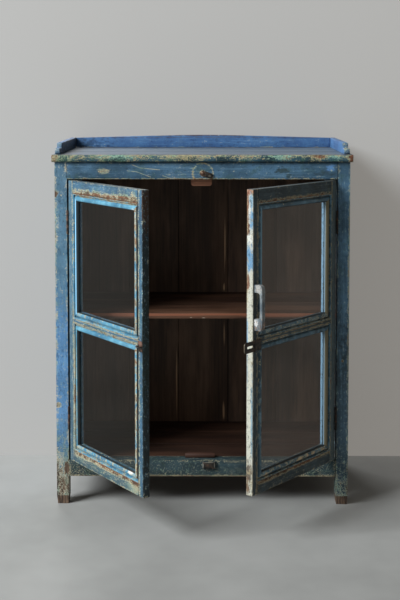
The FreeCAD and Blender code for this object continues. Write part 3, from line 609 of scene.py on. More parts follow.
def makeRail(node, size, look):
    limits = (-size["x"], size["x"], *size["y"], *size["z"])
    rail = startBox(node, *limits)
    weather(rail, alongX)
    paintOver(rail, node, limits=limits, grain=grainAcross, **look)


makeRail("front_top_rail", topRail, topRailLook)
makeRail("front_bottom_rail", bottomRail, bottomRailLook)
print("rails")

# top and gallery
topSize = {"x": 457.6, "front": -11.6, "back": 420, "z": (1061, 1084.8), "boards": 3, "nose": 8, "gap": 0.5}


def makeTop():
    s = topSize
    pitch = (s["back"] - s["front"]) / s["boards"]
    made = []
    for i in range(s["boards"]):
        y0 = s["front"] + i * pitch + (s["gap"] / 2 if i else 0)
        y1 = s["front"] + (i + 1) * pitch - s["gap"] / 2
        board = startBox("top_boards", -s["x"], s["x"], y0, y1, *s["z"])
        if i == 0:
            pick(board, "EDGE", lambda middle, way: abs(way.x) > straight and middle.y < s["front"] + 1)
            bpy.ops.mesh.bevel(offset=s["nose"] * mm, segments=5, affect="EDGES")
        weather(board, alongX)
        made.append(board)
    wake(made[0])
    for board in made[1:]:
        board.select_set(True)
    bpy.ops.object.join()
    return made[0]


topLook = {
    "streakNoise": (0.11, 5.0, 0.65), "streakGrain": (0.02, 1, 1),
    "streaks": (tone(61, 78, 95), tone(92, 112, 130)),
    "grey": tone(80, 84, 86), "fleck": tone(128, 140, 144), "dirt": tone(70, 72, 76),
    "rubbed": tone(112, 84, 70),
}
noseLook = {
    "stretchNoise": (0.012, 2.0),      # worn stretches along the front
    "ground": (tone(32, 54, 62), tone(54, 88, 106)),
    "green": tone(54, 86, 74), "rim": tone(66, 100, 78), "mint": tone(158, 208, 188),
    "primer": (tone(196, 188, 148), tone(150, 186, 158)),
    "wood": (tone(70, 48, 38), tone(122, 78, 58)),
    "ends": (-9.0, -2.0),              # plan Y over which the nose's paint gives way to the top's
    "highWear": (1064, 1079, 1.3),     # heights from and to, and amount
    "arris": (1080, 1084, -4.0, 2.0),  # rubbed brown: heights, then plan Y
    "primerAt": 1.5,
    "woodAt": 1.7,
    "patches": marksAt(-8, 22, (-452, 1073, 24, 22, 4), (454, 1073, 14, 22, 5)) + marksAt(
        -12, 20, (355, 1079, 27, 9, 3.4), (258, 1077, 15, 10, 2.6), (-40, 1076, 110, 12, 1.0),
        (-270, 1076, 60, 12, 0.9), (300, 1070, 32, 12, -2.2), (60, 1070, 60, 12, -1.6),
        (150, 1068, 70, 9, -1.2),
    ),
    "mints": marksAt(-12, 30, (-258, 1075, 54, 20, 0.9), (228, 1075, 50, 20, 0.9), (400, 1072, 30, 16, 0.9)),
}


def topFinish():
    t, n = topLook, noseLook
    f = Paint("topPaint", "carcass", grainAcross)
    y, z = f.xyz[1:]
    stretches = f.noise(f.stretch(f.at, (1, 0, 0)), *n["stretchNoise"])
    streaks = f.noise(f.stretch(f.at, t["streakGrain"]), *t["streakNoise"])
    top = f.mix(streaks.rise(0.36, 0.64), *t["streaks"])
    top = f.mix(f.mottle.rise(0.54, 0.66) * 0.5, top, t["grey"])
    top = f.mix(f.grit.rise(1.6, 2.4) * 0.6, top, t["fleck"])
    top = f.mix(f.grit.fall(-2.6, -1.6) * 0.5, top, t["dirt"])
    arris = z.rise(*n["arris"][:2]) * y.fall(*n["arris"][2:])
    top = f.mix(arris * 0.7, top, t["rubbed"])
    low, high, amount = n["highWear"]
    wear = f.grit + (f.specks - 0.5) * 8.0 + (stretches - 0.5) * 7.0
    wear = wear + z.rise(low, high) * amount - n["primerAt"]
    for at, size, amount in n["patches"]:
        wear = wear + f.patch(at, size) * amount
    nose = f.mix(f.clouds.rise(0.4, 0.6), *n["ground"])
    nose = f.mix(f.mottle.rise(0.5, 0.62) * 0.7, nose, n["green"])
    nose = f.mix(wear.rise(-0.7, -0.2) * 0.7, nose, n["rim"])
    pale = f.mix(f.mottle.rise(0.46, 0.6) * 0.6, *n["primer"])
    for at, size, strength in n["mints"]:
        pale = f.mix(f.patch(at, size) * strength, pale, n["mint"])
    nose = f.mix(wear.rise(0.0, chipSoft), nose, pale)
    wood = f.mix(f.flakes.rise(0.46, 0.54), *n["wood"])
    nose = f.mix(wear.rise(n["woodAt"], n["woodAt"] + chipSoft), nose, wood)
    colour = f.mix(y.fall(*n["ends"]), top, nose)
    return f.surface(colour, 0.55 + 0.3 * (f.specks - 0.5), f.strokes * 0.3 + f.grit * 0.06, gloss=0.3)


settle(makeTop(), "top_boards", "carcass", topFinish())

cobalt = {
    "deep": tone(64, 100, 148), "middle": tone(76, 118, 166), "bright": tone(102, 144, 188),
    "teal": tone(76, 108, 144), "dark": tone(44, 58, 92), "primerAt": 2.7,
}
gallerySide = {"x": (431, 449), "front": 5, "step": 51, "back": 418, "z": (1085, 1103.5, 1118), "lobe": 7}
galleryMarks = {  # on the lobed ends: (plan Y, height, half depth, half height)
    "wide": 40, "strength": 0.85,
    "tints": [(4, 1094, 14, 30), (52, 1112, 7, 12)],
    "chips": [(8, 1100, 16, 10, 0.0), (54, 1116, 12, 8, 0.0), (30, 1104, 30, 4, 0.6)],  # and wear added
    # painted shade over the left side's inner face, which faces away from the lamp
    "inside": ((-431, 240, 1102), (4, 420, 70), 0.95),
}
galleryPaint = cobalt | {"grain": grainDeep, "edgeWidth": 4, "edgeWear": 0.8}
galleryEnds = {  # other paint and chips there
    "gallery_left": {"tint": tone(112, 138, 152), "chips": 1.2, "inside": tone(26, 34, 42)},
    "gallery_right": {"tint": tone(92, 116, 130), "chips": 2.4, "inside": None},
}


def makeGallerySide(node):
    s, m, look = gallerySide, galleryMarks, galleryEnds[node]
    x0, x1 = (-s["x"][1], -s["x"][0]) if "left" in node else s["x"]
    side = startBox(node, x0, x1, s["front"], s["back"], s["z"][0], s["z"][1])
    cut(side, alongY, s["step"])
    pick(side, "FACE", lambda middle, normal: normal.z > square and middle.y > s["step"])
    pull(0, 0, s["z"][2] - s["z"][1])
    pick(side, "EDGE", lambda middle, way: abs(way.x) > straight and middle.y < s["step"] + 0.5
         and not (middle.y > s["step"] - 0.5 and middle.z < s["z"][1] + 0.5))
    bpy.ops.mesh.bevel(offset=s["lobe"] * mm, segments=4, affect="EDGES")
    weather(side, alongY)
    middle = (x0 + x1) / 2
    ends = [((middle, y, z), (m["wide"], deep, high), m["strength"], look["tint"])
            for y, z, deep, high in m["tints"]]
    # the left side's inner face gets painted shade
    if look["inside"]:
        ends.append((*m["inside"], look["inside"]))
    chips = [((middle, y, z), (m["wide"], deep, high), look["chips"] + more)
             for y, z, deep, high, more in m["chips"]]
    limits = (x0, x1, s["front"], s["back"] + clearOf, s["z"][0] - clearOf, s["z"][2])
    paintOver(side, node, "cobalt_wood", tints=ends, patches=chips, limits=limits, **galleryPaint)


makeGallerySide("gallery_left")
makeGallerySide("gallery_right")

galleryBack = {"x": 431, "y": (402, 418), "z": (1085, 1118), "crest": 60, "rise": 9.4, "peak": 0.4}
galleryBackLook = {
    "grain": grainAcross,
    "edgeWidth": 3,
    "bands": [(alongZ, 1086, 4, 1.6)],
    "tints": [
        # painted shadow cast by the left side over the back's left end
        ((-431, 400, 1090), (100, 20, 34), 0.5, tone(30, 42, 58)),
        ((0, 410, 1126), (500, 20, 2.5), 0.8, tone(92, 74, 66)),
        ((0, 410, 1119), (allOver, 20, 1.5), 0.5, tone(92, 74, 66)),
    ],
}


def makeGalleryBack():
    s = galleryBack
    back = startBox("gallery_back", -s["x"], s["x"], *s["y"], *s["z"])
    for at in (-s["crest"], -s["crest"] / 2, 0, s["crest"] / 2, s["crest"]):
        cut(back, alongX, at)
    pick(back, "VERT", lambda at: at.z > s["z"][1] - 1 and abs(at.x) < s["crest"] + 1)
    bpy.ops.transform.translate(value=(0, 0, s["rise"] * mm))
    pick(back, "VERT", lambda at: at.z > s["z"][1] - 1 and abs(at.x) < s["crest"] / 2 + 1)
    bpy.ops.transform.translate(value=(0, 0, s["peak"] * mm))
    weather(back, alongX)
    limits = (-s["x"] - clearOf, s["x"] + clearOf, *s["y"], s["z"][0] - clearOf, s["z"][1] + s["rise"])
    paintOver(back, "gallery_back", "cobalt_wood", limits=limits, **galleryBackLook, **cobalt)


makeGalleryBack()
print("top and gallery")

# doors
doorSize = {
    "hinge": 409.6, "free": 1.5, "z": (140.5, 1006.5), "thick": 22, "rabbet": 13, "stile": 47, "flat": 25,
    "moulding": 22, "top": 62, "middle": 58, "middleAt": 579, "bottom": 59,
}
mouldingShape = {
    "front": 0.6, "glass": 10, "lip": 3, "quirk": 4, "floor": 6.5, "foot": 8, "steps": 9,
    "lipSteps": [(1.0, 0.0), (1.0, 0.5), (1.0, 1.4)],  # (width, depth)
    "wall": 0.3, "reveal": 0.2,                        # widths of the steep faces
}
glassLook = {"left": {"dusty": 0.0, "shine": 0.7}, "right": {"dusty": 0.02, "shine": 1.0}}
doorPaint = {
    "left": {
        "place": "left", "deep": tone(52, 82, 104), "middle": tone(66, 104, 130),
        "bright": tone(100, 144, 172), "primerAt": 1.7, "fleck": (0.42, 0.48, 0.1),
    },
    # a darker, greyer copy of the blue paint: painted shade, as this door faces away from the lamp
    "right": {
        "place": "right", "dark": tone(26, 32, 34), "deep": tone(42, 54, 60), "middle": tone(58, 76, 84),
        "bright": tone(82, 102, 110), "teal": tone(56, 66, 58), "primer": tone(170, 160, 128),
        "mint": tone(120, 124, 104), "primerAt": 2.1,
    },
}
# the edge that meets the other door, from its front at 0 to 22: (across, height, half sizes, colour or wear)
freeEdge = {
    "left": {
        # the left edge's dark navy ground and darker middle are painted shade, as that edge faces away from
        # the lamp; the brown near its top is wear
        "tints": [
            (11, midZ, allOver, allOver, tone(34, 44, 48)), (11, 960, allOver, 90, tone(64, 46, 36)),
            (11, 560, allOver, 220, tone(30, 42, 40)),
        ],
        "wear": [(11, midZ, allOver, allOver, -1.0)],
    },
    "right": {
        # the right edge's cream-white ground and whitest marks are worn cream paint, lightened further as
        # painted light where the lamp falls full on that edge
        "tints": [
            (11, midZ, allOver, allOver, tone(198, 198, 184)), (12, 1000, 30, 12, tone(166, 118, 90)),
            (19, 962, 7, 48, tone(128, 88, 68)), (6, 975, 9, 26, tone(136, 168, 186)),
            (12, 948, 5, 22, tone(214, 214, 206)), (5, 922, 9, 34, tone(112, 156, 188)),
            (19, 898, 7, 30, tone(112, 80, 64)), (12, 868, 15, 12, tone(216, 218, 212)),
            (11, 812, 20, 42, tone(106, 150, 184)), (19, 744, 7, 32, tone(134, 100, 80)),
            (20, 612, 5, 46, tone(128, 162, 186)), (20, 500, 4, 60, tone(150, 162, 164)),
            (3, 360, 4, 130, tone(140, 166, 178)), (13, 206, 13, 34, tone(96, 86, 76)),
            (18, 166, 8, 26, tone(112, 88, 70)),
        ],
        "wear": [
            (20, 800, 5, 260, 1.6), (2, 640, 4, 400, 1.2), (11, 200, 20, 70, 1.3), (12, 520, 20, 6, 2.0),
        ],
    },
}
doorTop = ((0, 11, 1006.5), (allOver, allOver, 1.2), 0.8, tone(74, 80, 80))
hingeTints = {
    "left": marksAt(0, 40, (-397, midZ, 40, allOver, 0.25, tone(120, 150, 162)),
                    (-397, 260, 40, 300, 0.5, tone(56, 78, 92))),
    "right": marksAt(0, 40, (397, midZ, 40, allOver, 0.5, tone(104, 120, 124))),
}
railTints = {
    "left_door_bottom_rail": marksAt(0, 40, (-205, 160, 300, 60, 0.55, tone(64, 88, 88)),
                                     (-50, 160, 40, 30, 0.6, tone(140, 160, 140))),
}
railPatches = {
    "left_door_top_rail": marksAt(
        0, 30, (-224, 968, 180, 9, 1.6), (-90, 985, 60, 22, 0.9), (-48, 985, 16, 22, 1.5)),
    "left_door_bottom_rail": marksAt(
        0, 30, (-150, 170, 170, 12, 1.4), (-40, 165, 30, 30, 1.6), (-340, 168, 60, 18, 1.3)),
    "right_door_bottom_rail": marksAt(0, 30, (80, 172, 90, 10, 1.6), (240, 176, 110, 8, 2.0)),
}
stileLook = {
    "paint": {"edgeWidth": 6, "edgeWear": 0.6, "lowWear": 0.8},
    "bandWidth": {"lock": 12, "hinge": 8},
    "bandWear": 2.2,
    "freeReach": 5,                  # how far the free edge's marks run in
    "paneY": 17,
    "whole": -3.0,                   # so little wear that the paint stays
    "behindGlass": (5, 6, allOver),
    "lit": ((2, 9, allOver), 1.0, tone(116, 154, 180)),     # the inner edge that faces the light
    "joint": ((3.5, 30, allOver), 0.95, tone(20, 24, 24)),  # dark, by the moulding
}
planedDoor = {"edge": 1.2, "wave": 0.7}


def across(side, a, b):  # from distances right of the middle to plan X, for either door
    return (-b, -a) if side == "left" else (a, b)


def makeStile(side, kind):
    s, look = doorSize, stileLook
    if kind == "hinge":
        outer, inner, edge = s["hinge"], s["hinge"] - s["stile"], s["hinge"] - s["flat"]
    else:
        outer, inner, edge = s["free"], s["free"] + s["stile"], s["free"] + s["flat"]
    node = side + "_door_" + kind + "_stile"
    x0, x1 = across(side, min(outer, inner), max(outer, inner))
    way = -1 if side == "left" else 1
    outerX, innerX, step = outer * way, inner * way, edge * way
    flatMiddle = (outerX + step) / 2
    stile = startBox(node, x0, x1, s["rabbet"], s["thick"], *s["z"])
    cut(stile, alongX, step)
    pick(stile, "FACE", lambda middle, normal: normal.y < -square and abs(middle.x - flatMiddle) < 2)
    pull(0, -s["rabbet"], 0)
    weather(stile, alongZ, **planedDoor)
    behind = (innerX, look["paneY"], midZ)
    tints = hingeTints[side] + [doorTop] if kind == "hinge" else [doorTop]
    patches = [(behind, look["behindGlass"], look["whole"])]
    if kind == "hinge" and side == "right":
        tints = tints + [(behind, *look["lit"])]
    if kind == "lock":
        reach = look["freeReach"]
        tints = [((outerX, y, z), (reach, wide, high), 1.0, shade)
                 for y, z, wide, high, shade in freeEdge[side]["tints"]] + tints
        patches += [((outerX, y, z), (reach, wide, high), amount)
                    for y, z, wide, high, amount in freeEdge[side]["wear"]]
    if kind == "lock" and side == "left":
        size, strength, shade = look["joint"]
        tints = tints + [((step, 0, midZ), size, strength, shade)]
        patches += [((step, 0, midZ), size, look["whole"])]
    paintOver(stile, node, limits=(x0, x1, 0, s["thick"], *s["z"]), tints=tints, patches=patches,
              bands=[(alongX, step, look["bandWidth"][kind], look["bandWear"])],
              **look["paint"], **doorPaint[side])


bandWear = {"top": 3.1, "middle": 2.4, "bottom": 2.2}
bandWidth = {"left": {"top": 25, "middle": 6, "bottom": 16}, "right": {"top": 13, "middle": 7, "bottom": 14}}
railLook = {"grain": grainAcross, "edgeWidth": 6, "edgeWear": 1.0, "lowWear": 0.9}
railClear = doorSize["moulding"] + 30  # a rail's ends show no worn edge


def makeDoorRail(side, kind, z0, z1, low, high):
    s = doorSize
    node = side + "_door_" + kind + "_rail"
    x0, x1 = across(side, s["free"] + s["stile"], s["hinge"] - s["stile"])
    rail = startBox(node, x0, x1, s["rabbet"], s["thick"], z0, z1)
    for at in (low, high):
        if z0 < at < z1:
            cut(rail, alongZ, at)
    middleZ = (low + high) / 2
    pick(rail, "FACE", lambda middle, normal: normal.y < -square and abs(middle.z - middleZ) < 2)
    pull(0, -s["rabbet"], 0)
    for way in (-1, 1):
        pick(rail, "FACE", lambda middle, normal: normal.x * way > square and middle.y < s["rabbet"] - 1)
        pull(way * s["moulding"], 0, 0)
    weather(rail, alongX, **planedDoor)
    bands = [(alongZ, at, bandWidth[side][kind], bandWear[kind]) for at in (low, high) if z0 < at < z1]
    limits = (x0 - railClear, x1 + railClear, 0, s["thick"], low, high)
    paintOver(rail, node, limits=limits, bands=bands, patches=railPatches.get(node, []),
              tints=railTints.get(node, [doorTop]), **railLook, **doorPaint[side])


def beadSteps(shape, width):  # the bead's arc as steps of (width, depth)
    start, end = shape["lip"] + shape["quirk"], width
    a = Vector((start, shape["floor"], 0))
    b = Vector(((start + end) / 2, shape["front"], 0))
    c = Vector((end, shape["foot"], 0))
    ab, ac = b - a, c - a
    d = 2 * (ab.x * ac.y - ab.y * ac.x)
    ux = (ac.y * ab.length_squared - ab.y * ac.length_squared) / d
    uy = (ab.x * ac.length_squared - ac.x * ab.length_squared) / d
    centre = a + Vector((ux, uy, 0))
    radius = (a - centre).length
    first = math.atan2(a.y - centre.y, a.x - centre.x)
    last = math.atan2(c.y - centre.y, c.x - centre.x)
    if first > 0:
        first -= 2 * math.pi
    if last > 0:
        last -= 2 * math.pi
    points = []
    for i in range(shape["steps"] + 1):
        angle = first + (last - first) * i / shape["steps"]
        points.append((centre.x + radius * math.cos(angle), centre.y + radius * math.sin(angle)))
    return [(q[0] - p[0], q[1] - p[1]) for p, q in zip(points, points[1:])]


def makeMoulding(side, light, z0, z1):
    s, m = doorSize, mouldingShape
    node = side + "_door_" + light + "_moulding"
    x0, x1 = across(side, s["free"] + s["flat"], s["hinge"] - s["flat"])
    wake()
    middle = Vector(((x0 + x1) / 2, m["glass"], (z0 + z1) / 2)) * mm
    bpy.ops.mesh.primitive_plane_add(size=mm, location=middle, rotation=(math.pi / 2, 0, 0))
    ring = bpy.context.object
    ring.name = ring.data.name = camel(node)
    ring.scale = (x1 - x0, z1 - z0, 1)
    bpy.ops.object.transform_apply(location=True, rotation=True, scale=True)
    takeAll(ring)
    pull(0, m["front"] - m["glass"], 0)
    wallDrop = m["floor"] - m["front"] - sum(step[1] for step in m["lipSteps"])
    quirk = [(m["wall"], wallDrop), (m["quirk"] - m["wall"], 0.0)]
    reveal = [(m["reveal"], m["glass"] - m["foot"])]
    for width, depth in m["lipSteps"] + quirk + beadSteps(m, s["moulding"]) + reveal:
        bpy.ops.mesh.inset(thickness=width * mm, depth=-depth * mm)
    bpy.ops.mesh.delete(type="FACE")
    pick(ring, "FACE", lambda at, normal: abs(at.y - m["glass"]) < 0.1 and abs(normal.y) > square)
    bpy.ops.mesh.delete(type="FACE")
    bpy.ops.mesh.select_mode(type="EDGE")
    bpy.ops.mesh.select_non_manifold()
    bpy.ops.mesh.bridge_edge_loops()
    bpy.ops.mesh.select_all(action="SELECT")
    bpy.ops.mesh.normals_make_consistent(inside=False)
    finish = mouldingPaint(side, node, x0, x1, z0, z1)
    settle(ring, node, side, finish, smooth=28)


# in the order of paneSides: wear outside and on the bead, darkening in the quirk (painted shade and dirt),
# where the reveal's painted shade starts
paneSides = ("free", "hinge", "top", "low")
mouldingLook = {
    "left": {
        "deep": tone(60, 112, 140), "middle": tone(84, 146, 174), "bright": tone(120, 180, 200),
        "grime": tone(20, 25, 25), "white": tone(238, 232, 222),
        "outer": (1.4, 2.2, 3.8, 2.1),
        "bead": (3.6, -0.4, -0.2, 2.3),
        "dirt": ((1.0, 10.3), (0.9, 8), (0.2, 7.9), (0.35, 7.9)),  # (amount, end)
        "reveal": (19, 16.5, 19, 19),
        "whites": marksAt(3, 12, (-52, 943, 9, 8), (-70, 196, 14, 8)),
        # a painted highlight on the bead's slope that faces the lamp
        "slope": [("hinge", 9.5, 580, tone(140, 200, 236))],  # (side, start, lowest height, colour)
        "joint": 1.0,
        "patches": marksAt(3, 30, (-374, 370, 24, 200, 2.2), (-205, 597, 215, 14, -1.4)),
    },
    "right": {
        # darker blues than the left door's: painted shade, as this door faces away from the lamp
        "deep": tone(52, 76, 88), "middle": tone(74, 108, 126), "bright": tone(110, 152, 176),
        "grime": tone(20, 20, 18), "white": tone(206, 182, 142),
        "outer": (2.5, 1.0, 2.4, 2.2),
        "bead": (1.0, -0.4, 0.2, 2.0),
        "dirt": ((0.9, 7.9), (0.7, 7.9), (0.7, 7.9), (0.5, 7.9)),
        "reveal": (18, 30, 18, 19),
        "whites": marksAt(3, 12, (230, 191, 16, 6), (268, 191, 7, 6), (298, 191, 9, 6), (350, 190, 12, 5),
                          (68, 186, 9, 7)),
        # the olive band is bare wear; the two blue bands are painted light on slopes that face the lamp
        "slope": [
            ("hinge", 9.0, 0, tone(112, 106, 84)), ("hinge", 21.4, 0, tone(160, 205, 235)),
            ("free", 11.0, 580, tone(112, 150, 172)),
        ],
        "joint": 0.0,
        "patches": [],
    },
}
mouldingWorn = {
    "primerAt": 2.1,
    "woodAt": 1.3,
    "primer": (tone(196, 190, 158), tone(146, 158, 146)),
    "wood": (tone(58, 44, 36), tone(126, 88, 64)),
    "speck": tone(186, 178, 148),
    "jointEnds": (2.6, 3.4),
}


def mouldingPaint(side, node, x0, x1, z0, z1):
    m, look, worn = mouldingShape, mouldingLook[side], mouldingWorn
    f = Paint(camel(node) + "Paint", side, grainUp)
    x, z = f.xyz[0], f.xyz[2]
    free, hinge = (x1 - x, x - x0) if side == "left" else (x - x0, x1 - x)
    away = dict(zip(paneSides, (free, hinge, z1 - z, z - z0)))
    inwards = free.atMost(hinge).atMost(away["top"].atMost(away["low"]))
    on = {name: (inwards - distance).rise(-0.5, 0.0) for name, distance in away.items()}
    beadStart = m["lip"] + m["quirk"]
    outside = inwards.fall(beadStart - 0.5, beadStart + 1.5)
    quirk = inwards.rise(m["lip"], m["lip"] + 0.8)
    wear = f.grit - worn["primerAt"]
    dirt = 0.0
    reveal = 0.0
    rows = zip(on.values(), look["outer"], look["bead"], look["dirt"], look["reveal"])
    for mask, outer, bead, (amount, end), start in rows:
        wear = wear + mask * (outside * (outer - bead) + bead) * (f.mottle.rise(0.4, 0.6) * 0.8 + 0.4)
        dirt = dirt + mask * amount * inwards.fall(end - 1.2, end)
        reveal = reveal + mask * inwards.rise(start, start + 2.0)
    for at, size, amount in look["patches"]:
        wear = wear + f.patch(at, size) * amount
    colour = f.mix(f.clouds.rise(0.38, 0.62), look["deep"], look["middle"])
    colour = f.mix(f.mottle.rise(0.48, 0.64) * 0.7, colour, look["bright"])
    colour = f.mix(f.grit.fall(-2.2, -0.8) * 0.6, colour, look["deep"])
    primer = wear.rise(0.0, chipSoft)
    bare = wear.rise(worn["woodAt"], worn["woodAt"] + chipSoft)
    colour = f.mix(primer, colour, f.mix(f.mottle.rise(0.45, 0.6), *worn["primer"]))
    colour = f.mix(bare, colour, f.mix(f.flakes.rise(0.45, 0.55), *worn["wood"]))
    colour = f.mix(bare * f.specks.rise(0.52, 0.6) * 0.8, colour, worn["speck"])
    # most of these bands are painted light on slopes that face the lamp; one is wear
    for name, start, lowest, shade in look["slope"]:  # bands towards the glass
        band = on[name] * inwards.rise(start, start + 1.2) * z.rise(lowest - 2.0, lowest)
        colour = f.mix(band, colour, shade)
    for at, size in look["whites"]:
        colour = f.mix(f.patch(at, size), colour, look["white"])
    # the quirk darkened: painted shade and dirt
    colour = f.mix(quirk * dirt * (f.mottle.fall(0.5, 0.7) * 0.3 + 0.7), colour, look["grime"])
    # the reveal darkened: painted shade, as it faces away from the lamp
    colour = f.mix(reveal * 0.96, colour, look["grime"])
    joint = on["free"] * inwards.fall(*worn["jointEnds"]) * (f.mottle.rise(0.36, 0.5) * 0.4 + 0.6)
    colour = f.mix(joint * look["joint"], colour, look["grime"])
    height = f.specks * 0.2 - primer * 0.3 - bare * 0.4
    return f.surface(colour, 0.45 + 0.3 * bare + 0.2 * (f.specks - 0.5), height, gloss=0.4)


def makeDoor(side):
    s = doorSize
    bottom, top = s["z"]
    cover = s["moulding"]
    makeStile(side, "hinge")
    makeStile(side, "lock")
    middleLow, middleHigh = s["middleAt"] - s["middle"] / 2, s["middleAt"] + s["middle"] / 2
    makeDoorRail(side, "top", top - s["top"], top, top - s["top"] + cover, top)
    makeDoorRail(side, "middle", middleLow, middleHigh, middleLow + cover, middleHigh - cover)
    makeDoorRail(side, "bottom", bottom, bottom + s["bottom"], bottom, bottom + s["bottom"] - cover)
    makeMoulding(side, "upper", middleHigh - cover, top - s["top"] + cover)
    makeMoulding(side, "lower", bottom + s["bottom"] - cover, middleLow + cover)
    glass = oldGlass(side + "DoorGlass", side, **glassLook[side])
    dress(side + "_door_upper_pane", glass)
    dress(side + "_door_lower_pane", glass)


makeDoor("left")
makeDoor("right")
print("doors")

# pull handle
handleSize = {
    "x": (7, 21), "reach": -29, "bar": 9, "z": (612, 741), "lowFoot": 33, "topFoot": 22,
    "outer": 18, "inner": 8, "soft": 4.4,
}
handleLook = {
    "metal": (tone(84, 97, 106), tone(122, 132, 136)),
    "rubbed": tone(168, 172, 170),
    "pits": tone(56, 58, 58),
    "rust": (tone(96, 76, 64), tone(158, 136, 120)),
    "rustAt": 1.3,
    "lowRust": (612, 660, 1.2),  # heights from and to, and amount
    "rustSpot": ((18, -27, 628), (14, 10, 16), 1.6),
    "marks": [
        ((14, -14, 730), (30, 14, 16), 0.8, tone(186, 184, 178)),
        # a painted highlight on the lower foot
        ((14, -8, 634), (30, 10, 12), 0.9, tone(226, 226, 224)),
    ],
}


def handleFinish():
    look = handleLook
    f = Paint("handleMetal", "right", grainUp)
    colour = f.mix(f.mottle.rise(0.42, 0.58), *look["metal"])
    colour = f.mix(f.grit.rise(0.4, 1.4) * 0.4, colour, look["rubbed"])
    for at, size, strength, shade in look["marks"]:
        colour = f.mix(f.patch(at, size) * strength, colour, shade)
    low, high, amount = look["lowRust"]
    at, size, more = look["rustSpot"]
    worn = f.grit + f.xyz[2].fall(low, high) * amount - look["rustAt"] + f.patch(at, size) * more
    colour = f.mix(worn.rise(0.0, 0.6), colour, f.mix(f.flakes.rise(0.46, 0.54), *look["rust"]))
    colour = f.mix(f.grit.fall(-2.2, -1.0) * 0.8, colour, look["pits"])
    rough = 0.36 + 0.3 * (f.specks - 0.5)
    return f.surface(colour, rough, f.grit * 0.1, metal=worn.rise(0.2, 1.0) * 0.3, gloss=0.5)


def makeHandle():
    s = handleSize
    low, high = s["z"]
    handle = startBox("pull_handle", *s["x"], s["reach"], 0, low, low + s["lowFoot"])
    cut(handle, alongY, s["reach"] + s["bar"])
    inBar = s["reach"] + s["bar"] - 0.5
    for step in (high - s["topFoot"] - low - s["lowFoot"], s["topFoot"]):
        pick(handle, "FACE", lambda middle, normal: normal.z > square and middle.y < inBar)
        pull(0, 0, step)
    pick(handle, "FACE", lambda middle, normal: normal.y > square and middle.z > high - s["topFoot"])
    pull(0, -s["reach"] - s["bar"], 0)
    pick(handle, "EDGE", lambda middle, way: abs(way.x) > straight and middle.y < s["reach"] + 0.5
         and (middle.z < low + 1 or middle.z > high - 1))
    bpy.ops.mesh.bevel(offset=s["outer"] * mm, segments=6, affect="EDGES")
    pick(handle, "EDGE", lambda middle, way: abs(way.x) > straight and abs(middle.y - inBar - 0.5) < 1
         and low + 5 < middle.z < high - 5)
    bpy.ops.mesh.bevel(offset=s["inner"] * mm, segments=5, affect="EDGES")
    roundEdges(handle, s["soft"], segments=3, sharp=50)
    modify(handle, "SUBSURF", levels=1)
    settle(handle, "right_door_pull_handle", "right", handleFinish(), smooth=40)


makeHandle()
print("handle")

# solids whose shape is right: copied, merged and given soft edges
softEdge = {"back": 0.3, "block": 1.5, "floor": 1.0, "side": 1.2, "iron": 0.5, "hinge": 0.3}
boardGap = 0.4


def soften(node, material, edge, close=0):
    piece = bpy.data.objects.new(camel(node), frame["nodes"][node].data.copy())
    bpy.context.scene.collection.objects.link(piece)
    piece.data.name = piece.name
    takeAll(piece)
    bpy.ops.mesh.remove_doubles(threshold=0.01 * mm)
    bpy.ops.mesh.normals_make_consistent(inside=False)
    if close:  # upright boards pushed together
        last = max(corner[0] for corner in piece.bound_box) / mm - 1
        pick(piece, "FACE", lambda middle, normal: normal.x > square and middle.x < last)
        bpy.ops.transform.translate(value=(close * mm, 0, 0))
    roundEdges(piece, softEdge[edge], segments=2, sharp=35)
    present(piece, node, material, smooth=40)


rubbed = tone(208, 172, 136)
jointShade = tone(40, 31, 26)
insideMarks = marksAt(
    406, 16, (-84, midZ, 4, allOver, 0.9, jointShade), (85.5, midZ, 4, allOver, 0.9, jointShade),
) + marksAt(
    406, 8, (75, 760, 3, 140, 0.8, rubbed), (72, 606, 4, 16, 0.9, rubbed), (-91, 265, 3.2, 170, 0.9, rubbed),
    (73, 440, 3, 50, 0.6, rubbed), (71, 175, 4, 40, 0.8, rubbed),
)
shelfMarks = marksAt(44, 2.0, (0, 584, 700, 9, 0.8, tone(142, 88, 64))) + marksAt(
    44, 3, (-35, 575.5, 9, 3, 0.9, tone(190, 176, 160)), (4, 574.5, 12, 2.5, 0.9, tone(190, 176, 160)),
)
boardGrain = (0.02, 1, 1)
inside = bareWood("insideWood", marks=insideMarks)
soften("back_boards", inside, "back", close=boardGap)
for node in ("back_top_rail", "back_bottom_rail"):
    soften(node, inside, "back")
woodwork = [  # (material, edge, dark, middle and pale, marks, nodes)
    # the top stop's wood is lighter than its own colour: painted light on the block under the top rail
    ("topDoorStopWood", "block", tone(112, 74, 56), tone(176, 124, 96), tone(206, 158, 130), [],
     ["top_door_stop"]),
    ("bottomDoorStopWood", "block", tone(48, 32, 26), tone(84, 56, 45), tone(118, 84, 68), [],
     ["bottom_door_stop"]),
    ("shelfWood", "block", tone(36, 23, 16), tone(76, 50, 36), tone(128, 92, 70), shelfMarks,
     ["shelf_boards", "shelf_cleats", "floor_cleats"]),
    ("floorWood", "floor", tone(34, 22, 16), tone(64, 42, 32), tone(92, 64, 48), [], ["floor_boards"]),
]
for name, edge, dark, middle, pale, marks, nodes in woodwork:
    wood = bareWood(name, grain=boardGrain, dark=dark, middle=middle, pale=pale, marks=marks)
    for node in nodes:
        soften(node, wood, edge)

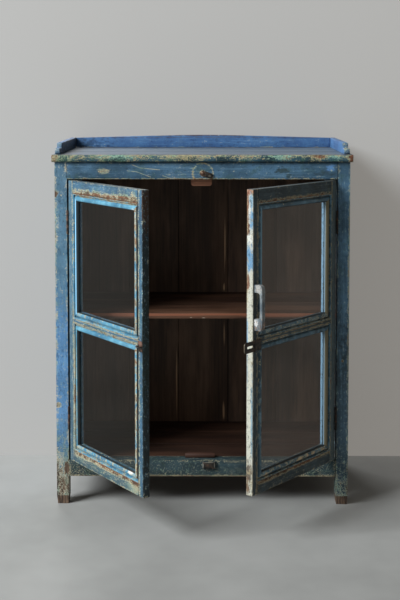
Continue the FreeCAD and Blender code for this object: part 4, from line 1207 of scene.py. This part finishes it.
sideWear = {"edgeWear": 1.0, "lowWear": 0.8}
for side in ("left", "right"):
    for kind, grain in (("boards", grainUp), ("top_rail", grainDeep), ("bottom_rail", grainDeep)):
        node = side + "_side_" + kind
        low, high = (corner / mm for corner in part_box(node))
        limits = (low.x, high.x, low.y - frontY / mm, high.y - frontY / mm, low.z, high.z)
        inner = (high.x, 1) if side == "left" else (low.x, -1)
        finish = paintedWood(camel(node) + "Paint", grain=grain, limits=limits, inner=inner, **sideWear)
        soften(node, finish, "side")

# ironwork
ironLook = {
    "dark": tone(34, 32, 30), "pale": tone(64, 58, 52), "rust": tone(98, 66, 48),
    "rustAt": 0.55, "polish": 0.5,
}
hingeLook = {
    "dark": tone(52, 44, 40), "pale": tone(104, 90, 78), "rust": tone(118, 78, 58),
    "rustAt": 0.5, "polish": 0.6,
}
# painted shade on the right hinges, in the dark gap by the open right door
rightHingeShade = ((411, 0, midZ), (60, 80, allOver), 0.85, tone(26, 26, 26))  # on the right hinges
ironwork = [  # (material, place, look, edge, nodes, marks)
    # painted highlights along the bolt keeper's two edges and its top
    ("carcassIron", "carcass", ironLook, "iron", ["bolt_keeper"], marksAt(
        -6, 20, (2.5, 125, 2, 14, 0.8, tone(150, 150, 142)), (38.5, 125, 2, 14, 0.8, tone(150, 150, 142)),
        (20, 134.5, 24, 1.5, 0.7, tone(140, 138, 128)),
    )),
    ("leftIron", "left", ironLook, "iron", ["left_door_staple"], [
        ((-14, -1, 577), (14, 10, 9), 0.7, tone(158, 118, 102)),
        ((-14, -10, 562), (6, 10, 8), 0.5, tone(128, 96, 78)),
    ]),
    ("rightIron", "right", ironLook, "iron", [
        "right_door_handle_screws", "right_door_hasp_leaf", "right_door_hasp_pin", "right_door_hasp_screws",
        "hasp_strap",
    ], marksAt(-4, 10, (-40, 569, 2.5, 18, 0.7, tone(128, 116, 98)))),
    ("buttonIron", "carcass", ironLook | {"rustAt": 0.57}, "iron", ["turn_button", "turn_button_screw"], [
        ((1, -4, 1028), (11, 20, 11), 0.8, tone(108, 82, 66)),
        ((-3, -6, 1032), (4, 20, 3), 0.6, tone(168, 146, 120)),
        ((22, -4, 1020), (4, 20, 3), 0.6, tone(128, 122, 110)),
    ]),
    ("carcassHingeIron", "carcass", hingeLook, "hinge",
     ["post_hinge_leaves", "hinge_pins", "post_hinge_screws"], [rightHingeShade]),
    ("leftHingeIron", "left", hingeLook, "hinge", ["left_door_hinge_leaves", "left_door_hinge_screws"], []),
    ("rightHingeIron", "right", hingeLook, "hinge",
     ["right_door_hinge_leaves", "right_door_hinge_screws"], [rightHingeShade]),
]
for name, place, look, edge, nodes, marks in ironwork:
    iron = oldMetal(name, place, marks=marks, **look)
    for node in nodes:
        soften(node, iron, edge)
print("hardware, boards and shelf")

# floor, backdrop, light and camera
scene = bpy.context.scene
scene.view_settings.view_transform = "Standard"
stageSize = {"floor": 14.0, "wallY": 0.42, "wallWidth": 9.0, "wallHeight": 5.0}
stageLook = {
    "floor": (tone(150, 151, 149), tone(168, 169, 167)),
    "floorNoise": (0.0016, 4.0, 0.6),
    "wall": tone(150, 152, 153),
    "glow": tone(255, 248, 238),
    "glowStrength": 0.2,
}


def makeStage():
    s, look = stageSize, stageLook
    wake()
    bpy.ops.mesh.primitive_plane_add(size=s["floor"], location=(0, 0, 0))
    floor = bpy.context.object
    floor.name = "floor"
    f = Finish("floorConcrete")
    clouds = f.noise(f.plan(carcassPlace), *look["floorNoise"])
    colour = f.mix(clouds.rise(0.3, 0.7), *look["floor"])
    floor.data.materials.append(f.surface(colour, 0.75, gloss=0.2))
    wake()
    bpy.ops.mesh.primitive_plane_add(size=1, location=(0, s["wallY"], s["wallHeight"] / 2),
                                     rotation=(math.pi / 2, 0, 0))
    wall = bpy.context.object
    wall.name = "backdrop"
    wall.scale = (s["wallWidth"], s["wallHeight"], 1)
    f = Finish("backdropPaper")
    seen = f.node("LightPath", output="Is Camera Ray").atLeast(f.node("LightPath", output="Is Glossy Ray"))
    seen = seen.atLeast(f.node("LightPath", output="Is Transmission Ray"))
    seen = seen * (1 - f.node("NewGeometry", output="Backfacing"))
    plain = f.node("BsdfDiffuse", None, {"Color": look["wall"]})
    glow = f.node("Emission", None, {"Color": look["glow"], "Strength": look["glowStrength"]})
    plain = f.node("AddShader", None, {0: plain, 1: glow})
    clear = f.node("BsdfTransparent")
    shown = f.node("MixShader", None, {0: seen, 1: clear, 2: plain})
    wall.data.materials.append(f.finished(shown))


makeStage()

roomLight = {"Color": tone(238, 230, 220), "Strength": 0.21}
world = bpy.data.worlds.new("room")
scene.world = world
world.use_nodes = True
for key, value in roomLight.items():
    world.node_tree.nodes["Background"].inputs[key].default_value = value

lamps = {
    "window": {
        "at": (-7.2, -4.3, 6.0), "target": (0, 0, 0.5), "size": (4.6, 4.2), "power": 1400,
        "colour": (0.97, 1.0, 1.02),
    },
    "backFill": {
        "at": (-1.6, 4.0, 3.6), "target": (0, 0.3, 0.6), "size": (2.0, 2.0), "power": 90,
        "colour": (1, 1, 1),
    },
}


def softLamp(name, at, target, size, power, colour):
    lamp = bpy.data.lights.new(name, "AREA")
    lamp.shape = "RECTANGLE"
    lamp.size, lamp.size_y = size
    lamp.energy = power
    lamp.color = colour
    holder = bpy.data.objects.new(name, lamp)
    scene.collection.objects.link(holder)
    holder.location = at
    holder.rotation_euler = (Vector(target) - Vector(at)).to_track_quat("-Z", "Y").to_euler()


for name, lamp in lamps.items():
    softLamp(name, **lamp)

view = {  # millimetres of sensor and lens, metres, degrees
    "sensor": 36, "lens": 66.68, "shift": -0.2337,
    "at": (0.0226, -3.4028, 1.2858), "tilt": 86.31, "turn": 0.5,
}
camera = bpy.data.cameras.new("camera")
camera.sensor_width = view["sensor"]
camera.lens = view["lens"]
camera.shift_y = view["shift"]
cameraHolder = bpy.data.objects.new("camera", camera)
scene.collection.objects.link(cameraHolder)
cameraHolder.location = view["at"]
cameraHolder.rotation_euler = (math.radians(view["tilt"]), 0, math.radians(view["turn"]))
scene.camera = cameraHolder
print("stage, light and camera")
